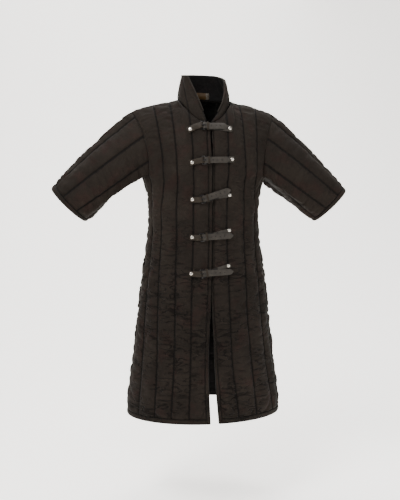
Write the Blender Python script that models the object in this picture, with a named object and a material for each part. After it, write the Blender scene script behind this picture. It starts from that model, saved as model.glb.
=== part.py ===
"""A quilted knee length arming coat (gambeson) with half sleeves, a stand collar and five buckled straps.

The coat keeps the hollow form it has on a figure. Metres, +Z up, the front faces -Y, and the origin is
between the wearer's shoulders. Every cloth piece is a wall with a quilted outside over a plain inside.
"""

import math

import bmesh
import bpy
import numpy as np
from mathutils.geometry import tessellate_polygon

for old in list(bpy.data.objects):
    bpy.data.objects.remove(old, do_unlink=True)

# Heights
HEM_Z = -1.070
UNDERARM_Z = -0.262

# Wall of the quilted cloth
WALL = 0.009            # at the top of a quilted channel
SEAM_DIP = 0.0048       # how far a stitched line sinks under the channel's top
BOUND_DIP = 0.0036      # how far the bound strips lie under it
JOIN_DIP = 0.0030       # and the sewn joins at the armhole and neck
WALL_AT_JOIN = 0.0085
COLLAR_WALL = 0.0070
GAP = 0.0003            # left between two sewn pieces

# Cut of the bound strips of the hem and the cuffs
HEM_STRIP = 0.0170
CUFF_STRIP = 0.0160

# The opening: height, x of the right and of the left front's edge, and the widths of their bound strips.
# The fronts meet a little past the middle and part below the last strap, and little of the left strip shows.
OPENING = (
    (-1.070, -0.0078, 0.0188, 0.0140, 0.0100),
    (-0.980, -0.0113, 0.0115, 0.0140, 0.0120),
    (-0.918, -0.0118, 0.0087, 0.0130, 0.0090),
    (-0.870, -0.0113, 0.0070, 0.0125, 0.0080),
    (-0.804, -0.0090, 0.0060, 0.0120, 0.0068),
    (-0.721, -0.0033, 0.0022, 0.0140, 0.0055),
    (-0.660, 0.0012, 0.0018, 0.0135, 0.0045),
    (-0.597, 0.00275, 0.00325, 0.0125, 0.0040),
    (-0.530, 0.00575, 0.00625, 0.0130, 0.0040),
    (-0.400, 0.00955, 0.01005, 0.0140, 0.0040),
    (-0.250, 0.00895, 0.00945, 0.0150, 0.0040),
    (0.000, 0.00795, 0.00845, 0.0150, 0.0040),
)

# Neck and shoulders
NECK_HALF = 0.092
NECK_FRONT_Y = 0.100
NECK_FRONT_DROP = 0.088
NECK_BACK_Y = 0.075
NECK_BACK_RISE = 0.010
NECK_SEAM_ANGLE = 41.5  # where the first quilted line meets the neck, from the middle of the front

# Sleeves
CUFF_CENTRE = (0.457, -0.359)
CUFF_HALF_HEIGHT = 0.0806
CUFF_HALF_DEPTH = 0.069
SLEEVE_SLOPE = 45.0
SLEEVE_SWELL = 0.007
SLEEVE_HOLLOW = {-1: 0.022, 1: 0.008}   # how far each sleeve's underside draws up below the armhole
CUFF_YAW = {-1: 0.012, 1: -0.004}       # how far the front of each cuff stands out past its back

# Collar
COLLAR_HALF = 0.078
COLLAR_DEPTH = 0.078
COLLAR_RISE = 0.0778
COLLAR_TILT = 0.0167
COLLAR_CORNERS = (58.0, 70.0)   # where the rim starts and ends, from the middle of the front
COLLAR_DROP = 0.0160    # how far its left end lies lower
LABEL_X = 0.0085
RIM_ROLL = 0.0045

# Straps
LEATHER = 0.0018
WIRE = 0.0024
STRAP_HALF = 0.0100
LOWER_HALF = 0.0062
LAYERS_APART = 9.0
CHAPE_HALF = 0.0090
LIE = 0.0004            # between two pieces that lie on each other
CLEAR = 0.0016          # under a strap, over the tops of the quilted channels
FRAME_HALF = 0.0140
WINDOW_HALF = 0.0114
HOLE_R = 0.0017
HOLE_PITCH = 0.0148
RIVET_R = 0.0061
RIVET_RISE = 0.0030

# The torso's outline: height, half width, half depth, and how square the section is (2 is an ellipse)
TORSO = (
    (-1.070, 0.2680, 0.190, 2.00),
    (-1.018, 0.2640, 0.187, 2.00),
    (-0.938, 0.2540, 0.180, 2.00),
    (-0.866, 0.2455, 0.173, 2.00),
    (-0.766, 0.2325, 0.165, 2.05),
    (-0.660, 0.2210, 0.156, 2.10),
    (-0.566, 0.2095, 0.147, 2.15),
    (-0.510, 0.1995, 0.142, 2.20),
    (-0.445, 0.1910, 0.135, 2.25),
    (-0.397, 0.1890, 0.131, 2.30),
    (-0.359, 0.1915, 0.130, 2.35),
    (-0.317, 0.1950, 0.130, 2.40),
    (-0.283, 0.2035, 0.131, 2.45),
    (-0.262, 0.2140, 0.132, 2.50),
)

# Where the quilted lines run round each panel, in degrees from the middle: height, then lines one to four
LINES = {
    "right": (
        (-1.070, 17.2, 30.5, 44.2, 61.8),
        (-0.882, 16.8, 30.0, 45.4, 63.6),
        (-0.717, 17.1, 31.3, 49.5, 67.8),
        (-0.530, 17.1, 33.6, 53.3, 70.3),
        (-0.380, 17.0, 35.8, 56.7, 76.0),
        (-0.262, 14.9, 30.4, 45.2, 67.6),
    ),
    "left": (
        (-1.070, 19.5, 35.2, 57.5, 71.5),
        (-0.882, 15.6, 34.0, 52.4, 69.9),
        (-0.717, 15.7, 33.1, 52.7, 71.5),
        (-0.530, 15.9, 36.1, 54.4, 73.5),
        (-0.380, 17.4, 39.2, 61.0, 77.5),
        (-0.262, 16.7, 35.3, 51.4, 67.6),
    ),
    "back": (
        (-1.070, 19.0, 34.5, 51.0, 67.0),
        (-0.760, 18.7, 36.0, 55.0, 72.5),
        (-0.390, 18.3, 37.0, 57.5, 76.5),
        (-0.262, 15.4, 31.0, 47.6, 67.6),
    ),
}

# The shoulder line from the neck to the tip: distance from the middle, height
SHOULDER = (
    (0.092, 0.000),
    (0.121, -0.007),
    (0.176, -0.018),
    (0.232, -0.035),
    (0.253, -0.047),
)
SHOULDER_LINES = (0.121, 0.176, 0.253)

# Creases pressed into the outside: side, front, then x and z of both ends, depth and half width
CREASES = (
    (-1, 1, 0.148, -0.200, 0.166, -0.262, 0.0022, 0.014),
    (-1, 1, 0.178, -0.262, 0.120, -0.300, 0.0020, 0.013),
    (1, 1, 0.185, -0.245, 0.135, -0.285, 0.0022, 0.013),
    (1, 1, 0.190, -0.110, 0.176, -0.215, 0.0020, 0.013),
    (-1, 1, 0.100, -0.700, 0.060, -0.745, 0.0020, 0.018),
    (1, 1, 0.080, -0.885, 0.145, -0.900, 0.0020, 0.018),
    (-1, 0, 0.170, -0.225, 0.100, -0.300, 0.0022, 0.014),
    (1, 0, 0.170, -0.225, 0.105, -0.305, 0.0022, 0.014),
    (1, 0, 0.050, -0.800, 0.150, -0.840, 0.0020, 0.018),
)

# One row for each fastening: the buckle's x and z, then length and slope of the buckle strap, of the strap's
# lower layer to its rivet and of its upper layer to its tip, where its holes start, how many, and how far its
# rivets pull the leather down into the cloth
STRAPS = (
    (-0.0206, -0.1024, 0.0445, 17.8, 0.0892, -5.0, 0.0822, -1.0, 0.029, 4, 0.0000),
    (-0.0207, -0.2160, 0.0401, 11.5, 0.0940, 2.8, 0.0855, 2.0, 0.029, 4, 0.0015),
    (-0.0247, -0.3420, 0.0345, 2.4, 0.0905, 8.6, 0.0970, 18.6, 0.030, 4, 0.0022),
    (-0.0280, -0.4672, 0.0330, -1.3, 0.0934, 14.3, 0.1035, 3.4, 0.029, 4, 0.0021),
    (-0.0296, -0.5846, 0.0357, -1.0, 0.0910, 15.7, 0.1030, 3.3, 0.029, 4, 0.0026),
)

CLOTH = (0.0300, 0.0245, 0.0200)
BINDING = (0.0250, 0.0205, 0.0170)
LEATHER_COLOUR = (0.0720, 0.0640, 0.0540)
CHAPE_COLOUR = (0.0560, 0.0460, 0.0350)
BLACK_STEEL = (0.0180, 0.0180, 0.0190)
NICKEL = (0.6700, 0.6500, 0.6100)
LABEL = (0.3200, 0.2400, 0.1000)

CHANNEL = 4             # grid steps across a quilted channel
UPPER_ROWS = 12
SLEEVE_ROWS = 8
COLLAR_ROWS = 4


def paint(name, colour, rough, metal=0.0):
    """A plain Principled material of the piece's own."""
    material = bpy.data.materials.new(name)
    material.use_nodes = True
    shader = material.node_tree.nodes["Principled BSDF"]
    shader.inputs["Base Color"].default_value = (*colour, 1.0)
    shader.inputs["Roughness"].default_value = rough
    shader.inputs["Metallic"].default_value = metal
    return material


def solid(name, points, faces, material):
    """One closed body from points and faces, its faces turned outward."""
    mesh = bpy.data.meshes.new(name)
    mesh.from_pydata([tuple(float(v) for v in p) for p in points], [], faces)
    work = bmesh.new()
    work.from_mesh(mesh)
    bmesh.ops.recalc_face_normals(work, faces=work.faces)
    bmesh.ops.triangulate(work, faces=work.faces, quad_method="SHORT_EDGE")
    work.to_mesh(mesh)
    work.free()
    mesh.materials.append(material)
    obj = bpy.data.objects.new(name, mesh)
    bpy.context.scene.collection.objects.link(obj)
    return obj


def unit(v):
    """The vectors at length one."""
    v = np.asarray(v, float)
    return v / np.maximum(np.linalg.norm(v, axis=-1, keepdims=True), 1e-12)


def bezier(p0, p1, p2, p3, v):
    """A point of the cubic curve at v from 0 to 1."""
    w = 1.0 - v
    return w ** 3 * p0 + 3 * w * w * v * p1 + 3 * w * v * v * p2 + v ** 3 * p3


def torso_at(z):
    """Half width, half depth and squareness of the torso at one height."""
    rows = np.array(TORSO)
    return [float(np.interp(z, rows[:, 0], rows[:, i])) for i in (1, 2, 3)]


def line_angles(key, z):
    """The four quilted lines' angles on one panel at one height, in radians."""
    rows = np.array(LINES[key])
    return [math.radians(float(np.interp(z, rows[:, 0], rows[:, i]))) for i in (1, 2, 3, 4)]


def front_edge(side, z):
    """The opening edge of a front, measured toward its own side."""
    rows = np.array(OPENING)
    return side * float(np.interp(z, rows[:, 0], rows[:, 1 if side < 0 else 2]))


def strip_edge(side, z):
    """The other edge of a front's bound strip, measured toward its own side."""
    rows = np.array(OPENING)
    return front_edge(side, z) + float(np.interp(z, rows[:, 0], rows[:, 3 if side < 0 else 4]))


def stops_to_columns(stops):
    """Spreads grid columns evenly between the values at the quilted lines."""
    out = [stops[0]]
    for a, b in zip(stops, stops[1:]):
        out += [a + (b - a) * (i + 1) / CHANNEL for i in range(CHANNEL)]
    return out


def lower_rows():
    """Heights of the grid rows from the hem to the underarm."""
    first = HEM_Z + HEM_STRIP
    last = UNDERARM_Z - 0.048
    return [HEM_Z] + list(np.linspace(first, last, 16)) + [UNDERARM_Z - 0.021, UNDERARM_Z]


def lower_point(angle, z, front):
    """A point of the torso below the underarm."""
    half, deep, square = torso_at(z)
    across = math.sin(angle)
    y = deep * max(0.0, 1.0 - abs(across) ** square) ** (1.0 / square)
    return np.array((half * across, -y if front else y, z))


def lower_row(side, front, z):
    """All points of one row of a quarter, from its middle edge to the side seam."""
    half = torso_at(z)[0]
    lines = line_angles(("right" if side < 0 else "left") if front else "back", z)
    if front:
        edge = math.asin(front_edge(side, z) / half)
        start = math.asin(strip_edge(side, z) / half)
        angles = [edge] + stops_to_columns([start] + lines + [math.pi / 2])
    else:
        angles = stops_to_columns([0.0] + lines + [math.pi / 2])
    return [lower_point(a, z, front) for a in angles]


def neck_point(angle, front):
    """A point of the neckline, by its angle from the middle of the front or of the back."""
    if front:
        y = -NECK_FRONT_Y * math.cos(angle)
        z = -NECK_FRONT_DROP * math.cos(angle) ** 2
    else:
        y = NECK_BACK_Y * math.cos(angle)
        z = NECK_BACK_RISE * math.cos(angle) ** 2
    return np.array((NECK_HALF * math.sin(angle), y, z))


def shoulder_point(x):
    """A point of the shoulder line."""
    rows = np.array(SHOULDER)
    return np.array((x, 0.0, float(np.interp(x, rows[:, 0], rows[:, 1]))))


def top_row(side, front):
    """Top points of a quarter's columns as far as the armhole, and the angle of those on the neckline."""
    seam = math.radians(NECK_SEAM_ANGLE)
    if front:
        edge = math.asin(front_edge(side, 0.0) / NECK_HALF)
        start = math.asin(strip_edge(side, 0.0) / NECK_HALF)
        angles = [edge, start]
    else:
        start = 0.0
        angles = [start]
    angles += [start + (seam - start) * i / CHANNEL for i in range(1, CHANNEL + 1)]
    angles += [(seam + math.pi / 2) / 2, math.pi / 2]
    tops = [neck_point(a, front) for a in angles]
    first = SHOULDER_LINES[0]
    xs = [(NECK_HALF + first) / 2] + stops_to_columns(list(SHOULDER_LINES))
    tops += [shoulder_point(x) for x in xs]
    angles += [math.pi / 2] * len(xs)
    return tops, angles


def quarter(side, front):
    """The grid of a quarter of the torso: columns from the middle outward, rows from the hem up."""
    rows = [lower_row(side, front, z) for z in lower_rows()]
    tops, angles = top_row(side, front)
    way = -1.0 if front else 1.0
    base = rows[-1]
    last = len(tops) - 1
    for step in range(1, UPPER_ROWS + 1):
        v = step / UPPER_ROWS
        row = []
        for k, (top, angle) in enumerate(zip(tops, angles)):
            p0 = base[k]
            rise = top[2] - p0[2]
            pull = max(0.0, 1.0 - (last - k) / CHANNEL) ** 1.5
            p1 = p0 + np.array((-0.006 * pull, way * 0.022 * pull, 0.40 * rise))
            out = way * (0.058 * math.sin(angle) + 0.012 * math.cos(angle))
            down = -0.012 * math.sin(angle) - 0.050 * math.cos(angle)
            p2 = top + np.array((-0.028 * pull, out, down - 0.020 * pull))
            row.append(bezier(p0, p1, p2, top, v))
        row += [np.full(3, np.nan)] * (len(base) - len(tops))
        rows.append(row)
    grid = np.array(rows)
    grid[..., 0] *= side
    return grid


def full_mask(grid):
    """The cells whose four corners exist."""
    there = ~np.isnan(grid[..., 0])
    return there[:-1, :-1] & there[1:, :-1] & there[:-1, 1:] & there[1:, 1:]


def grid_normals(grid, mask, wrap=False):
    """Vertex normals from the cells around each point."""
    rows, cols = grid.shape[:2]
    out = np.zeros(grid.shape)
    for r, c in zip(*np.nonzero(mask)):
        d = (c + 1) % cols if wrap else c + 1
        n = np.cross(grid[r + 1, d] - grid[r, c], grid[r + 1, c] - grid[r, d])
        for spot in ((r, c), (r, d), (r + 1, c), (r + 1, d)):
            out[spot] += n
    return unit(out)


def shell(name, grid, dirs, dip, wall, mask, material, wrap=False, moves=None):
    """A closed wall on the chosen cells of a grid: outside, inside and rim."""
    rows, cols = grid.shape[:2]
    moves = moves or {}
    centres = {}
    used = {}
    sides = {}
    for r, c in zip(*np.nonzero(mask)):
        d = (c + 1) % cols if wrap else c + 1
        ring = [(r, c), (r, d), (r + 1, d), (r + 1, c)]
        middle = sum(grid[s] for s in ring) / 4
        for s in ring:
            used.setdefault(s, len(used))
            centres.setdefault(s, []).append(middle)
        for a, b in zip(ring, ring[1:] + ring[:1]):
            key = (min(a, b), max(a, b))
            sides[key] = sides.get(key, 0) + 1
    border = {s for key, count in sides.items() if count == 1 for s in key}
    count = len(used)
    points = np.zeros((2 * count, 3))
    for s, i in used.items():
        shift = np.zeros(3)
        if s in moves:
            shift = moves[s]
        elif s in border:
            inward = np.mean(centres[s], axis=0) - grid[s]
            inward = inward - dirs[s] * float(np.dot(inward, dirs[s]))
            shift = unit(inward) * GAP * 0.55
        points[i] = grid[s] + shift - dirs[s] * dip[s]
        points[count + i] = grid[s] + shift - dirs[s] * wall[s]
    faces = []
    for r, c in zip(*np.nonzero(mask)):
        d = (c + 1) % cols if wrap else c + 1
        ring = [used[(r, c)], used[(r, d)], used[(r + 1, d)], used[(r + 1, c)]]
        faces.append(ring)
        faces.append([i + count for i in reversed(ring)])
    for (a, b), n in sides.items():
        if n == 1:
            faces.append([used[a], used[b], used[b] + count, used[a] + count])
    return solid(name, points, faces, material)


def swell(i):
    """Height of a quilted channel at grid column i of it, from 0 at a line to 1 in the middle."""
    return math.sin(math.pi * (i % CHANNEL) / CHANNEL) ** 0.6


def uneven(i, j):
    """A repeatable uneven value from 0 to 1."""
    return (math.sin(12.9898 * i + 78.233 * j) * 43758.5453) % 1.0


def press(point, side, front):
    """How deep the pressed creases are at a point of one quarter."""
    deep = 0.0
    for crease_side, crease_front, x0, z0, x1, z1, depth, half in CREASES:
        if crease_side != side or bool(crease_front) != front:
            continue
        ax, az = x1 - x0, z1 - z0
        px, pz = abs(point[0]) - x0, point[2] - z0
        t = min(1.0, max(0.0, (px * ax + pz * az) / (ax * ax + az * az)))
        away = math.hypot(px - t * ax, pz - t * az)
        deep = max(deep, depth * math.exp(-(away / half) ** 2))
    return deep


# The two seams where a body piece meets another on a bend: the armhole and the neckline. There the wall's
# edge stands between the two surfaces, so that both pieces end on the same plane with the gap between them.

def bend(points, normals_a, normals_b, toward_b):
    """Edge directions of a bent seam, and the way across it toward piece b."""
    points = np.asarray(points)
    edge = unit(normals_a + normals_b)
    along = np.gradient(points, axis=0)
    across = unit(np.cross(along, edge))
    sign = np.sign(np.sum(across * toward_b, axis=-1))
    return edge, across * sign[:, None]


def ring_points(side):
    """The cuff circle, from its underside forward and over the top."""
    tilt = math.radians(SLEEVE_SLOPE)
    up = np.array((side * math.sin(tilt), 0.0, math.cos(tilt)))
    axis = np.array((side * math.cos(tilt), 0.0, -math.sin(tilt)))
    middle = np.array((side * CUFF_CENTRE[0], 0.0, CUFF_CENTRE[1]))
    count = 2 * (CHANNEL + UPPER_ROWS)
    out = []
    for j in range(count):
        a = 2 * math.pi * j / count
        forward = np.array((0, -CUFF_HALF_DEPTH * math.sin(a), 0)) + axis * CUFF_YAW[side] * math.sin(a)
        out.append(middle - up * CUFF_HALF_HEIGHT * math.cos(a) + forward)
    return np.array(out), middle


QUARTERS = {(s, f): quarter(s, f) for s in (-1, 1) for f in (True, False)}
LOW = len(lower_rows()) - 1
TOP = LOW + UPPER_ROWS
ARM_F = 1 + 4 * CHANNEL         # armhole column of a front, with the bound strip's column before it
SIDE_F = ARM_F + CHANNEL
ARM_B = 4 * CHANNEL
SIDE_B = ARM_B + CHANNEL
NECK_F = 1 + CHANNEL + 2        # neck point columns
NECK_B = CHANNEL + 2


def back_grid():
    """Both back quarters as one grid, from the wearer's right to the left."""
    right = QUARTERS[(-1, False)][:, ::-1]
    left = QUARTERS[(1, False)][:, 1:]
    return np.concatenate((right, left), axis=1)


def outward(grid, mask):
    """Normals that point away from the body, level with the seam plane on the side and shoulder seams."""
    n = grid_normals(grid, mask)
    probe = (LOW // 2, grid.shape[1] // 2)
    away = grid[probe] * np.array((1.0, 1.0, 0.0))
    if float(np.dot(n[probe], away)) < 0:
        n = -n
    on_plane = np.abs(grid[..., 1]) < 1e-6
    n[on_plane, 1] = 0.0
    return unit(n)


BACK = back_grid()
GRIDS = {"right": QUARTERS[(-1, True)], "left": QUARTERS[(1, True)], "back": BACK}
MASKS = {key: full_mask(g) for key, g in GRIDS.items()}
NORMALS = {key: outward(g, MASKS[key]) for key, g in GRIDS.items()}
for key in ("right", "left"):
    NORMALS[key][:, 0, 0] = 0.0         # the fronts' edges face each other squarely
    NORMALS[key] = unit(NORMALS[key])


def loop_spots(side):
    """Grid spots of one armhole, from the side seam forward, up to the shoulder tip and down the back."""
    key = "right" if side < 0 else "left"
    front = [(key, (LOW, c)) for c in range(SIDE_F, ARM_F, -1)]
    front += [(key, (r, ARM_F)) for r in range(LOW, TOP + 1)]
    middle = SIDE_B

    def col(c):
        return middle + side * c

    back = [("back", (r, col(ARM_B))) for r in range(TOP, LOW, -1)]
    back += [("back", (LOW, col(c))) for c in range(ARM_B, SIDE_B + 1)]
    return front, back


def neck_spots():
    """Grid spots of the neckline from the right front's edge round the back to the left front's edge."""
    right = [("right", (TOP, c)) for c in range(1, NECK_F + 1)]
    back = [("back", (TOP, c)) for c in range(SIDE_B - NECK_B, SIDE_B + NECK_B + 1)]
    left = [("left", (TOP, c)) for c in range(NECK_F, -1, -1)]
    return right, back, left


MOVES = {"right": {}, "left": {}, "back": {}}
EDGE_SPOTS = {"right": set(), "left": set(), "back": set()}


def share(spots, edge, across):
    """Gives the body pieces the seam's edge directions and moves their ends back by half the gap."""
    for (key, spot), e, a in zip(spots, edge, across):
        NORMALS[key][spot] = e
        MOVES[key][spot] = -a * GAP / 2
        EDGE_SPOTS[key].add(spot)


SLEEVE_START = {}
for side in (-1, 1):
    front_spots, back_spots = loop_spots(side)
    spots = front_spots + back_spots[1:-1]
    loop = np.array([GRIDS[key][spot] for key, spot in spots])
    body = np.array([NORMALS[key][spot] for key, spot in spots])
    cuff, cuff_middle = ring_points(side)
    sleeve_out = unit(cuff - cuff_middle)
    axis = unit(cuff_middle - loop.mean(axis=0))
    closed = np.concatenate((loop[-1:], loop, loop[:1]))
    body_c = np.concatenate((body[-1:], body, body[:1]))
    out_c = np.concatenate((sleeve_out[-1:], sleeve_out, sleeve_out[:1]))
    edge, across = bend(closed, body_c, out_c, axis)
    edge, across = edge[1:-1], across[1:-1]
    tip = len(front_spots) - 1
    for i in (0, tip):
        edge[i, 1] = 0.0
        across[i, 1] = 0.0
    edge, across = unit(edge), unit(across)
    share(spots, edge, across)
    key, spot = back_spots[0]
    share([(key, spot), back_spots[-1]], edge[[tip, 0]], across[[tip, 0]])
    SLEEVE_START[side] = (loop, edge, across)

right_neck, back_neck, left_neck = neck_spots()
neck_all = right_neck + back_neck[1:-1] + left_neck
NECK = np.array([GRIDS[key][spot] for key, spot in neck_all])
neck_body = np.array([NORMALS[key][spot] for key, spot in neck_all])
neck_out = unit(NECK * np.array((1.0, 0.9, 0.0)) + np.array((0.0, 0.0, 0.004)))
NECK_EDGE, NECK_UP = bend(NECK, neck_body, neck_out, np.array((0.0, 0.0, 1.0)))
for i in (len(right_neck) - 1, len(right_neck) + len(back_neck) - 2):
    NECK_EDGE[i, 1] = 0.0
    NECK_UP[i, 1] = 0.0
NECK_EDGE[-1, 0] = 0.0
NECK_UP[-1, 0] = 0.0
NECK_EDGE, NECK_UP = unit(NECK_EDGE), unit(NECK_UP)
share(neck_all, NECK_EDGE, NECK_UP)
for spot, i in ((back_neck[0], len(right_neck) - 1), (back_neck[-1], len(right_neck) + len(back_neck) - 2)):
    share([spot], NECK_EDGE[[i]], NECK_UP[[i]])
flat = np.array((0.0, 1.0, 1.0))
share([("right", (TOP, 0))], unit(NECK_EDGE[[0]] * flat), unit(NECK_UP[[0]] * flat))

# At the side seam and the shoulder seam the wall's edges also draw back from the seam plane.
for key, grid in GRIDS.items():
    way = 1.0 if key == "back" else -1.0
    for spot in zip(*np.nonzero(np.abs(grid[..., 1]) < 1e-6)):
        move = MOVES[key].get(spot, np.zeros(3)).copy()
        move[1] = way * GAP / 2
        MOVES[key][spot] = move


def columns_of(key):
    """For each column its place in a channel, and the channel's number."""
    if key == "back":
        return [(c % CHANNEL, c // CHANNEL) for c in range(BACK.shape[1])]
    return [(0, 0)] + [(c % CHANNEL, c // CHANNEL) for c in range(GRIDS[key].shape[1] - 1)]


def dips(key):
    """How far the outside lies under the channel tops, over a whole grid."""
    grid = GRIDS[key]
    out = np.zeros(grid.shape[:2])
    columns = columns_of(key)
    for r in range(grid.shape[0]):
        for c, (step, channel) in enumerate(columns):
            if np.isnan(grid[r, c, 0]):
                continue
            height = swell(step) * (0.84 + 0.16 * uneven(channel, r))
            if r == 2 or r == TOP - 1:
                height *= 0.85
            if r <= 1 or r == TOP:
                height = 0.0
            side = -1 if grid[r, c, 0] < 0 else 1
            dip = SEAM_DIP * (1.0 - height) + press(grid[r, c], side, key != "back") * height
            if r <= 1 or (key != "back" and c <= 1):
                dip = BOUND_DIP
            if (r, c) in EDGE_SPOTS[key]:
                dip = JOIN_DIP
            out[r, c] = dip
    return out


DIPS = {key: dips(key) for key in GRIDS}
WALLS = {}
for key, grid in GRIDS.items():
    wall = np.full(grid.shape[:2], WALL)
    for spot in EDGE_SPOTS[key]:
        wall[spot] = WALL_AT_JOIN
    WALLS[key] = wall


def part_of(key, rows, cols):
    """The cells of a grid between the given rows and columns."""
    mask = np.zeros_like(MASKS[key])
    mask[rows[0]:rows[1], cols[0]:cols[1]] = True
    return mask & MASKS[key]


def cut(name, key, rows, cols, material):
    """One sewn piece cut from a body grid."""
    mask = part_of(key, rows, cols)
    moves = dict(MOVES[key])
    shell(name, GRIDS[key], NORMALS[key], DIPS[key], WALLS[key], mask, material, moves=moves)


# The quilted body panels

last_row = TOP
for key in ("right", "left"):
    cut("front_" + key, key, (1, last_row), (1, SIDE_F), paint("quilted_front_" + key, CLOTH, 0.9))
    cut("front_binding_" + key, key, (0, last_row), (0, 1), paint("bound_front_" + key, BINDING, 0.85))
    cut("hem_binding_front_" + key, key, (0, 1), (1, SIDE_F), paint("bound_hem_" + key, BINDING, 0.85))
cut("back", "back", (1, last_row), (0, 2 * SIDE_B), paint("quilted_back", CLOTH, 0.9))
cut("hem_binding_back", "back", (0, 1), (0, 2 * SIDE_B), paint("bound_hem_back", BINDING, 0.85))


# The sleeves, from the armhole to the cuff

def sleeve(side, word):
    """One quilted half sleeve and the bound strip of its cuff."""
    loop, edge, across = SLEEVE_START[side]
    cuff, middle = ring_points(side)
    length = float(np.linalg.norm(middle - loop.mean(axis=0)))
    stops = list(np.linspace(0.0, 1.0 - CUFF_STRIP / length, SLEEVE_ROWS + 1)) + [1.0]
    radial = unit(cuff - middle)
    turn = np.arange(len(loop)) * 2 * math.pi / len(loop)
    under = SLEEVE_HOLLOW[side] * np.clip(np.cos(turn), 0, 1)[:, None] ** 1.5
    grid = np.array([loop + (cuff - loop) * s + radial * SLEEVE_SWELL * 4 * s * (1 - s)
                     - radial * under * 6.75 * s * (1 - s) ** 2 for s in stops])
    mask = np.ones((len(stops) - 1, grid.shape[1]), bool)
    dirs = grid_normals(grid, mask, wrap=True)
    if float(np.sum(dirs[4] * radial)) < 0:
        dirs = -dirs
    dirs[0] = edge
    dip = np.zeros(grid.shape[:2])
    wall = np.full(grid.shape[:2], WALL)
    for r in range(grid.shape[0]):
        for c in range(grid.shape[1]):
            height = swell(c + CHANNEL // 2) * (0.82 + 0.18 * uneven(c // CHANNEL + 20, r))
            dip[r, c] = SEAM_DIP * (1.0 - height)
    dip[0] = JOIN_DIP
    wall[0] = WALL_AT_JOIN
    dip[-2:] = BOUND_DIP
    moves = {(0, c): across[c] * GAP / 2 for c in range(grid.shape[1])}
    for piece, rows, colour in (("sleeve_", (0, -1), CLOTH), ("cuff_binding_", (-1, None), BINDING)):
        part = np.zeros_like(mask)
        part[rows[0]:rows[1]] = True
        material = paint("quilted_" + piece + word, colour, 0.9)
        shell(piece + word, grid, dirs, dip, wall, part, material, wrap=True, moves=moves)


sleeve(-1, "right")
sleeve(1, "left")


# The stand collar, its rolled edge and the label inside it

def rim_point(angle):
    """A point of the collar's upper edge, by its angle from the middle of the front."""
    c = math.cos(angle)
    end = (angle + math.pi) / (math.radians(COLLAR_CORNERS[1]) - math.pi)
    z = COLLAR_RISE - COLLAR_TILT * c - COLLAR_DROP * max(0.0, (end - 0.35) / 0.65) ** 1.4
    return np.array((COLLAR_HALF * math.sin(angle), -COLLAR_DEPTH * c, z))


def collar_grid():
    """The collar from the neck seam to its upper edge."""
    turn = np.unwrap(np.arctan2(NECK[:, 0], -NECK[:, 1]))
    share_along = (turn - turn[0]) / (turn[-1] - turn[0])
    first, last = (math.radians(corner) for corner in COLLAR_CORNERS)
    rows = []
    for row in range(COLLAR_ROWS + 1):
        v = row / COLLAR_ROWS
        line = []
        for base, part in zip(NECK, share_along):
            angle = -(first + part * (2 * math.pi - first - last))
            top = rim_point(angle)
            arc = 4 * v * (1 - v)
            aside = 0.080 * max(0.0, part - 0.8) + 0.020 * max(0.0, 0.2 - part)
            bow = unit(np.array((base[0], base[1], 0.0))) * 0.003 * arc
            line.append(base + (top - base) * v + bow + np.array((aside * arc, 0.0, 0.0)))
        rows.append(line)
    return np.array(rows)


COLLAR = collar_grid()
collar_mask = np.ones((COLLAR.shape[0] - 1, COLLAR.shape[1] - 1), bool)
collar_dirs = grid_normals(COLLAR, collar_mask)
collar_middle = COLLAR.shape[1] // 2
if collar_dirs[2, collar_middle, 1] < 0:
    collar_dirs = -collar_dirs
collar_dirs[0] = NECK_EDGE
collar_dip = np.zeros(COLLAR.shape[:2])
collar_wall = np.full(COLLAR.shape[:2], COLLAR_WALL)
for row in range(COLLAR.shape[0]):
    for col in range(COLLAR.shape[1]):
        collar_dip[row, col] = 0.0016 * (1 - swell(col))
collar_dip[0] = JOIN_DIP
collar_dip[-1] = 0.0012
collar_dip[:, 0] = 0.0012
collar_dip[:, -1] = 0.0012
collar_wall[0] = WALL_AT_JOIN
collar_moves = {(0, c): NECK_UP[c] * GAP / 2 for c in range(COLLAR.shape[1])}
collar_cloth = paint("quilted_collar", CLOTH, 0.9)
shell("collar", COLLAR, collar_dirs, collar_dip, collar_wall, collar_mask, collar_cloth, moves=collar_moves)


def sweep(name, centres, axes_a, axes_b, outline, material):
    """A closed bar with one outline carried along a path."""
    points = []
    for centre, a, b in zip(centres, axes_a, axes_b):
        points += [centre + a * u + b * v for u, v in outline]
    n = len(outline)
    faces = []
    for i in range(len(centres) - 1):
        for j in range(n):
            k = (j + 1) % n
            faces.append([i * n + j, i * n + k, (i + 1) * n + k, (i + 1) * n + j])
    faces.append(list(range(n)))
    faces.append([(len(centres) - 1) * n + j for j in range(n)])
    return solid(name, points, faces, material)


def collar_edge():
    """The narrow bound strip round the collar's front ends and upper edge."""
    last = COLLAR.shape[0] - 1
    right = [(r, 0) for r in range(1, last)]
    top = [(last, c) for c in range(COLLAR.shape[1])]
    left = [(r, COLLAR.shape[1] - 1) for r in range(last - 1, 0, -1)]
    spots = right + top + left
    path = np.array([COLLAR[s] for s in spots])
    normal = np.array([collar_dirs[s] for s in spots])
    along = unit(np.gradient(path, axis=0))
    out = unit(np.cross(along, normal))
    if out[len(out) // 2, 2] < 0:
        out = -out
    for corner in (len(right), len(right) + len(top) - 1):
        out[corner] *= 1.35
    path = path - normal * (COLLAR_WALL + 0.0012) / 2
    half = (COLLAR_WALL - 0.0012) / 2 + 0.0005
    outline = ((0.0003, -half), (0.7 * RIM_ROLL, -half), (RIM_ROLL, -0.3 * half),
               (RIM_ROLL, 0.3 * half), (0.7 * RIM_ROLL, half), (0.0003, half))
    sweep("collar_binding", path, out, normal, outline, paint("bound_collar", BINDING, 0.8))


collar_edge()


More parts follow.
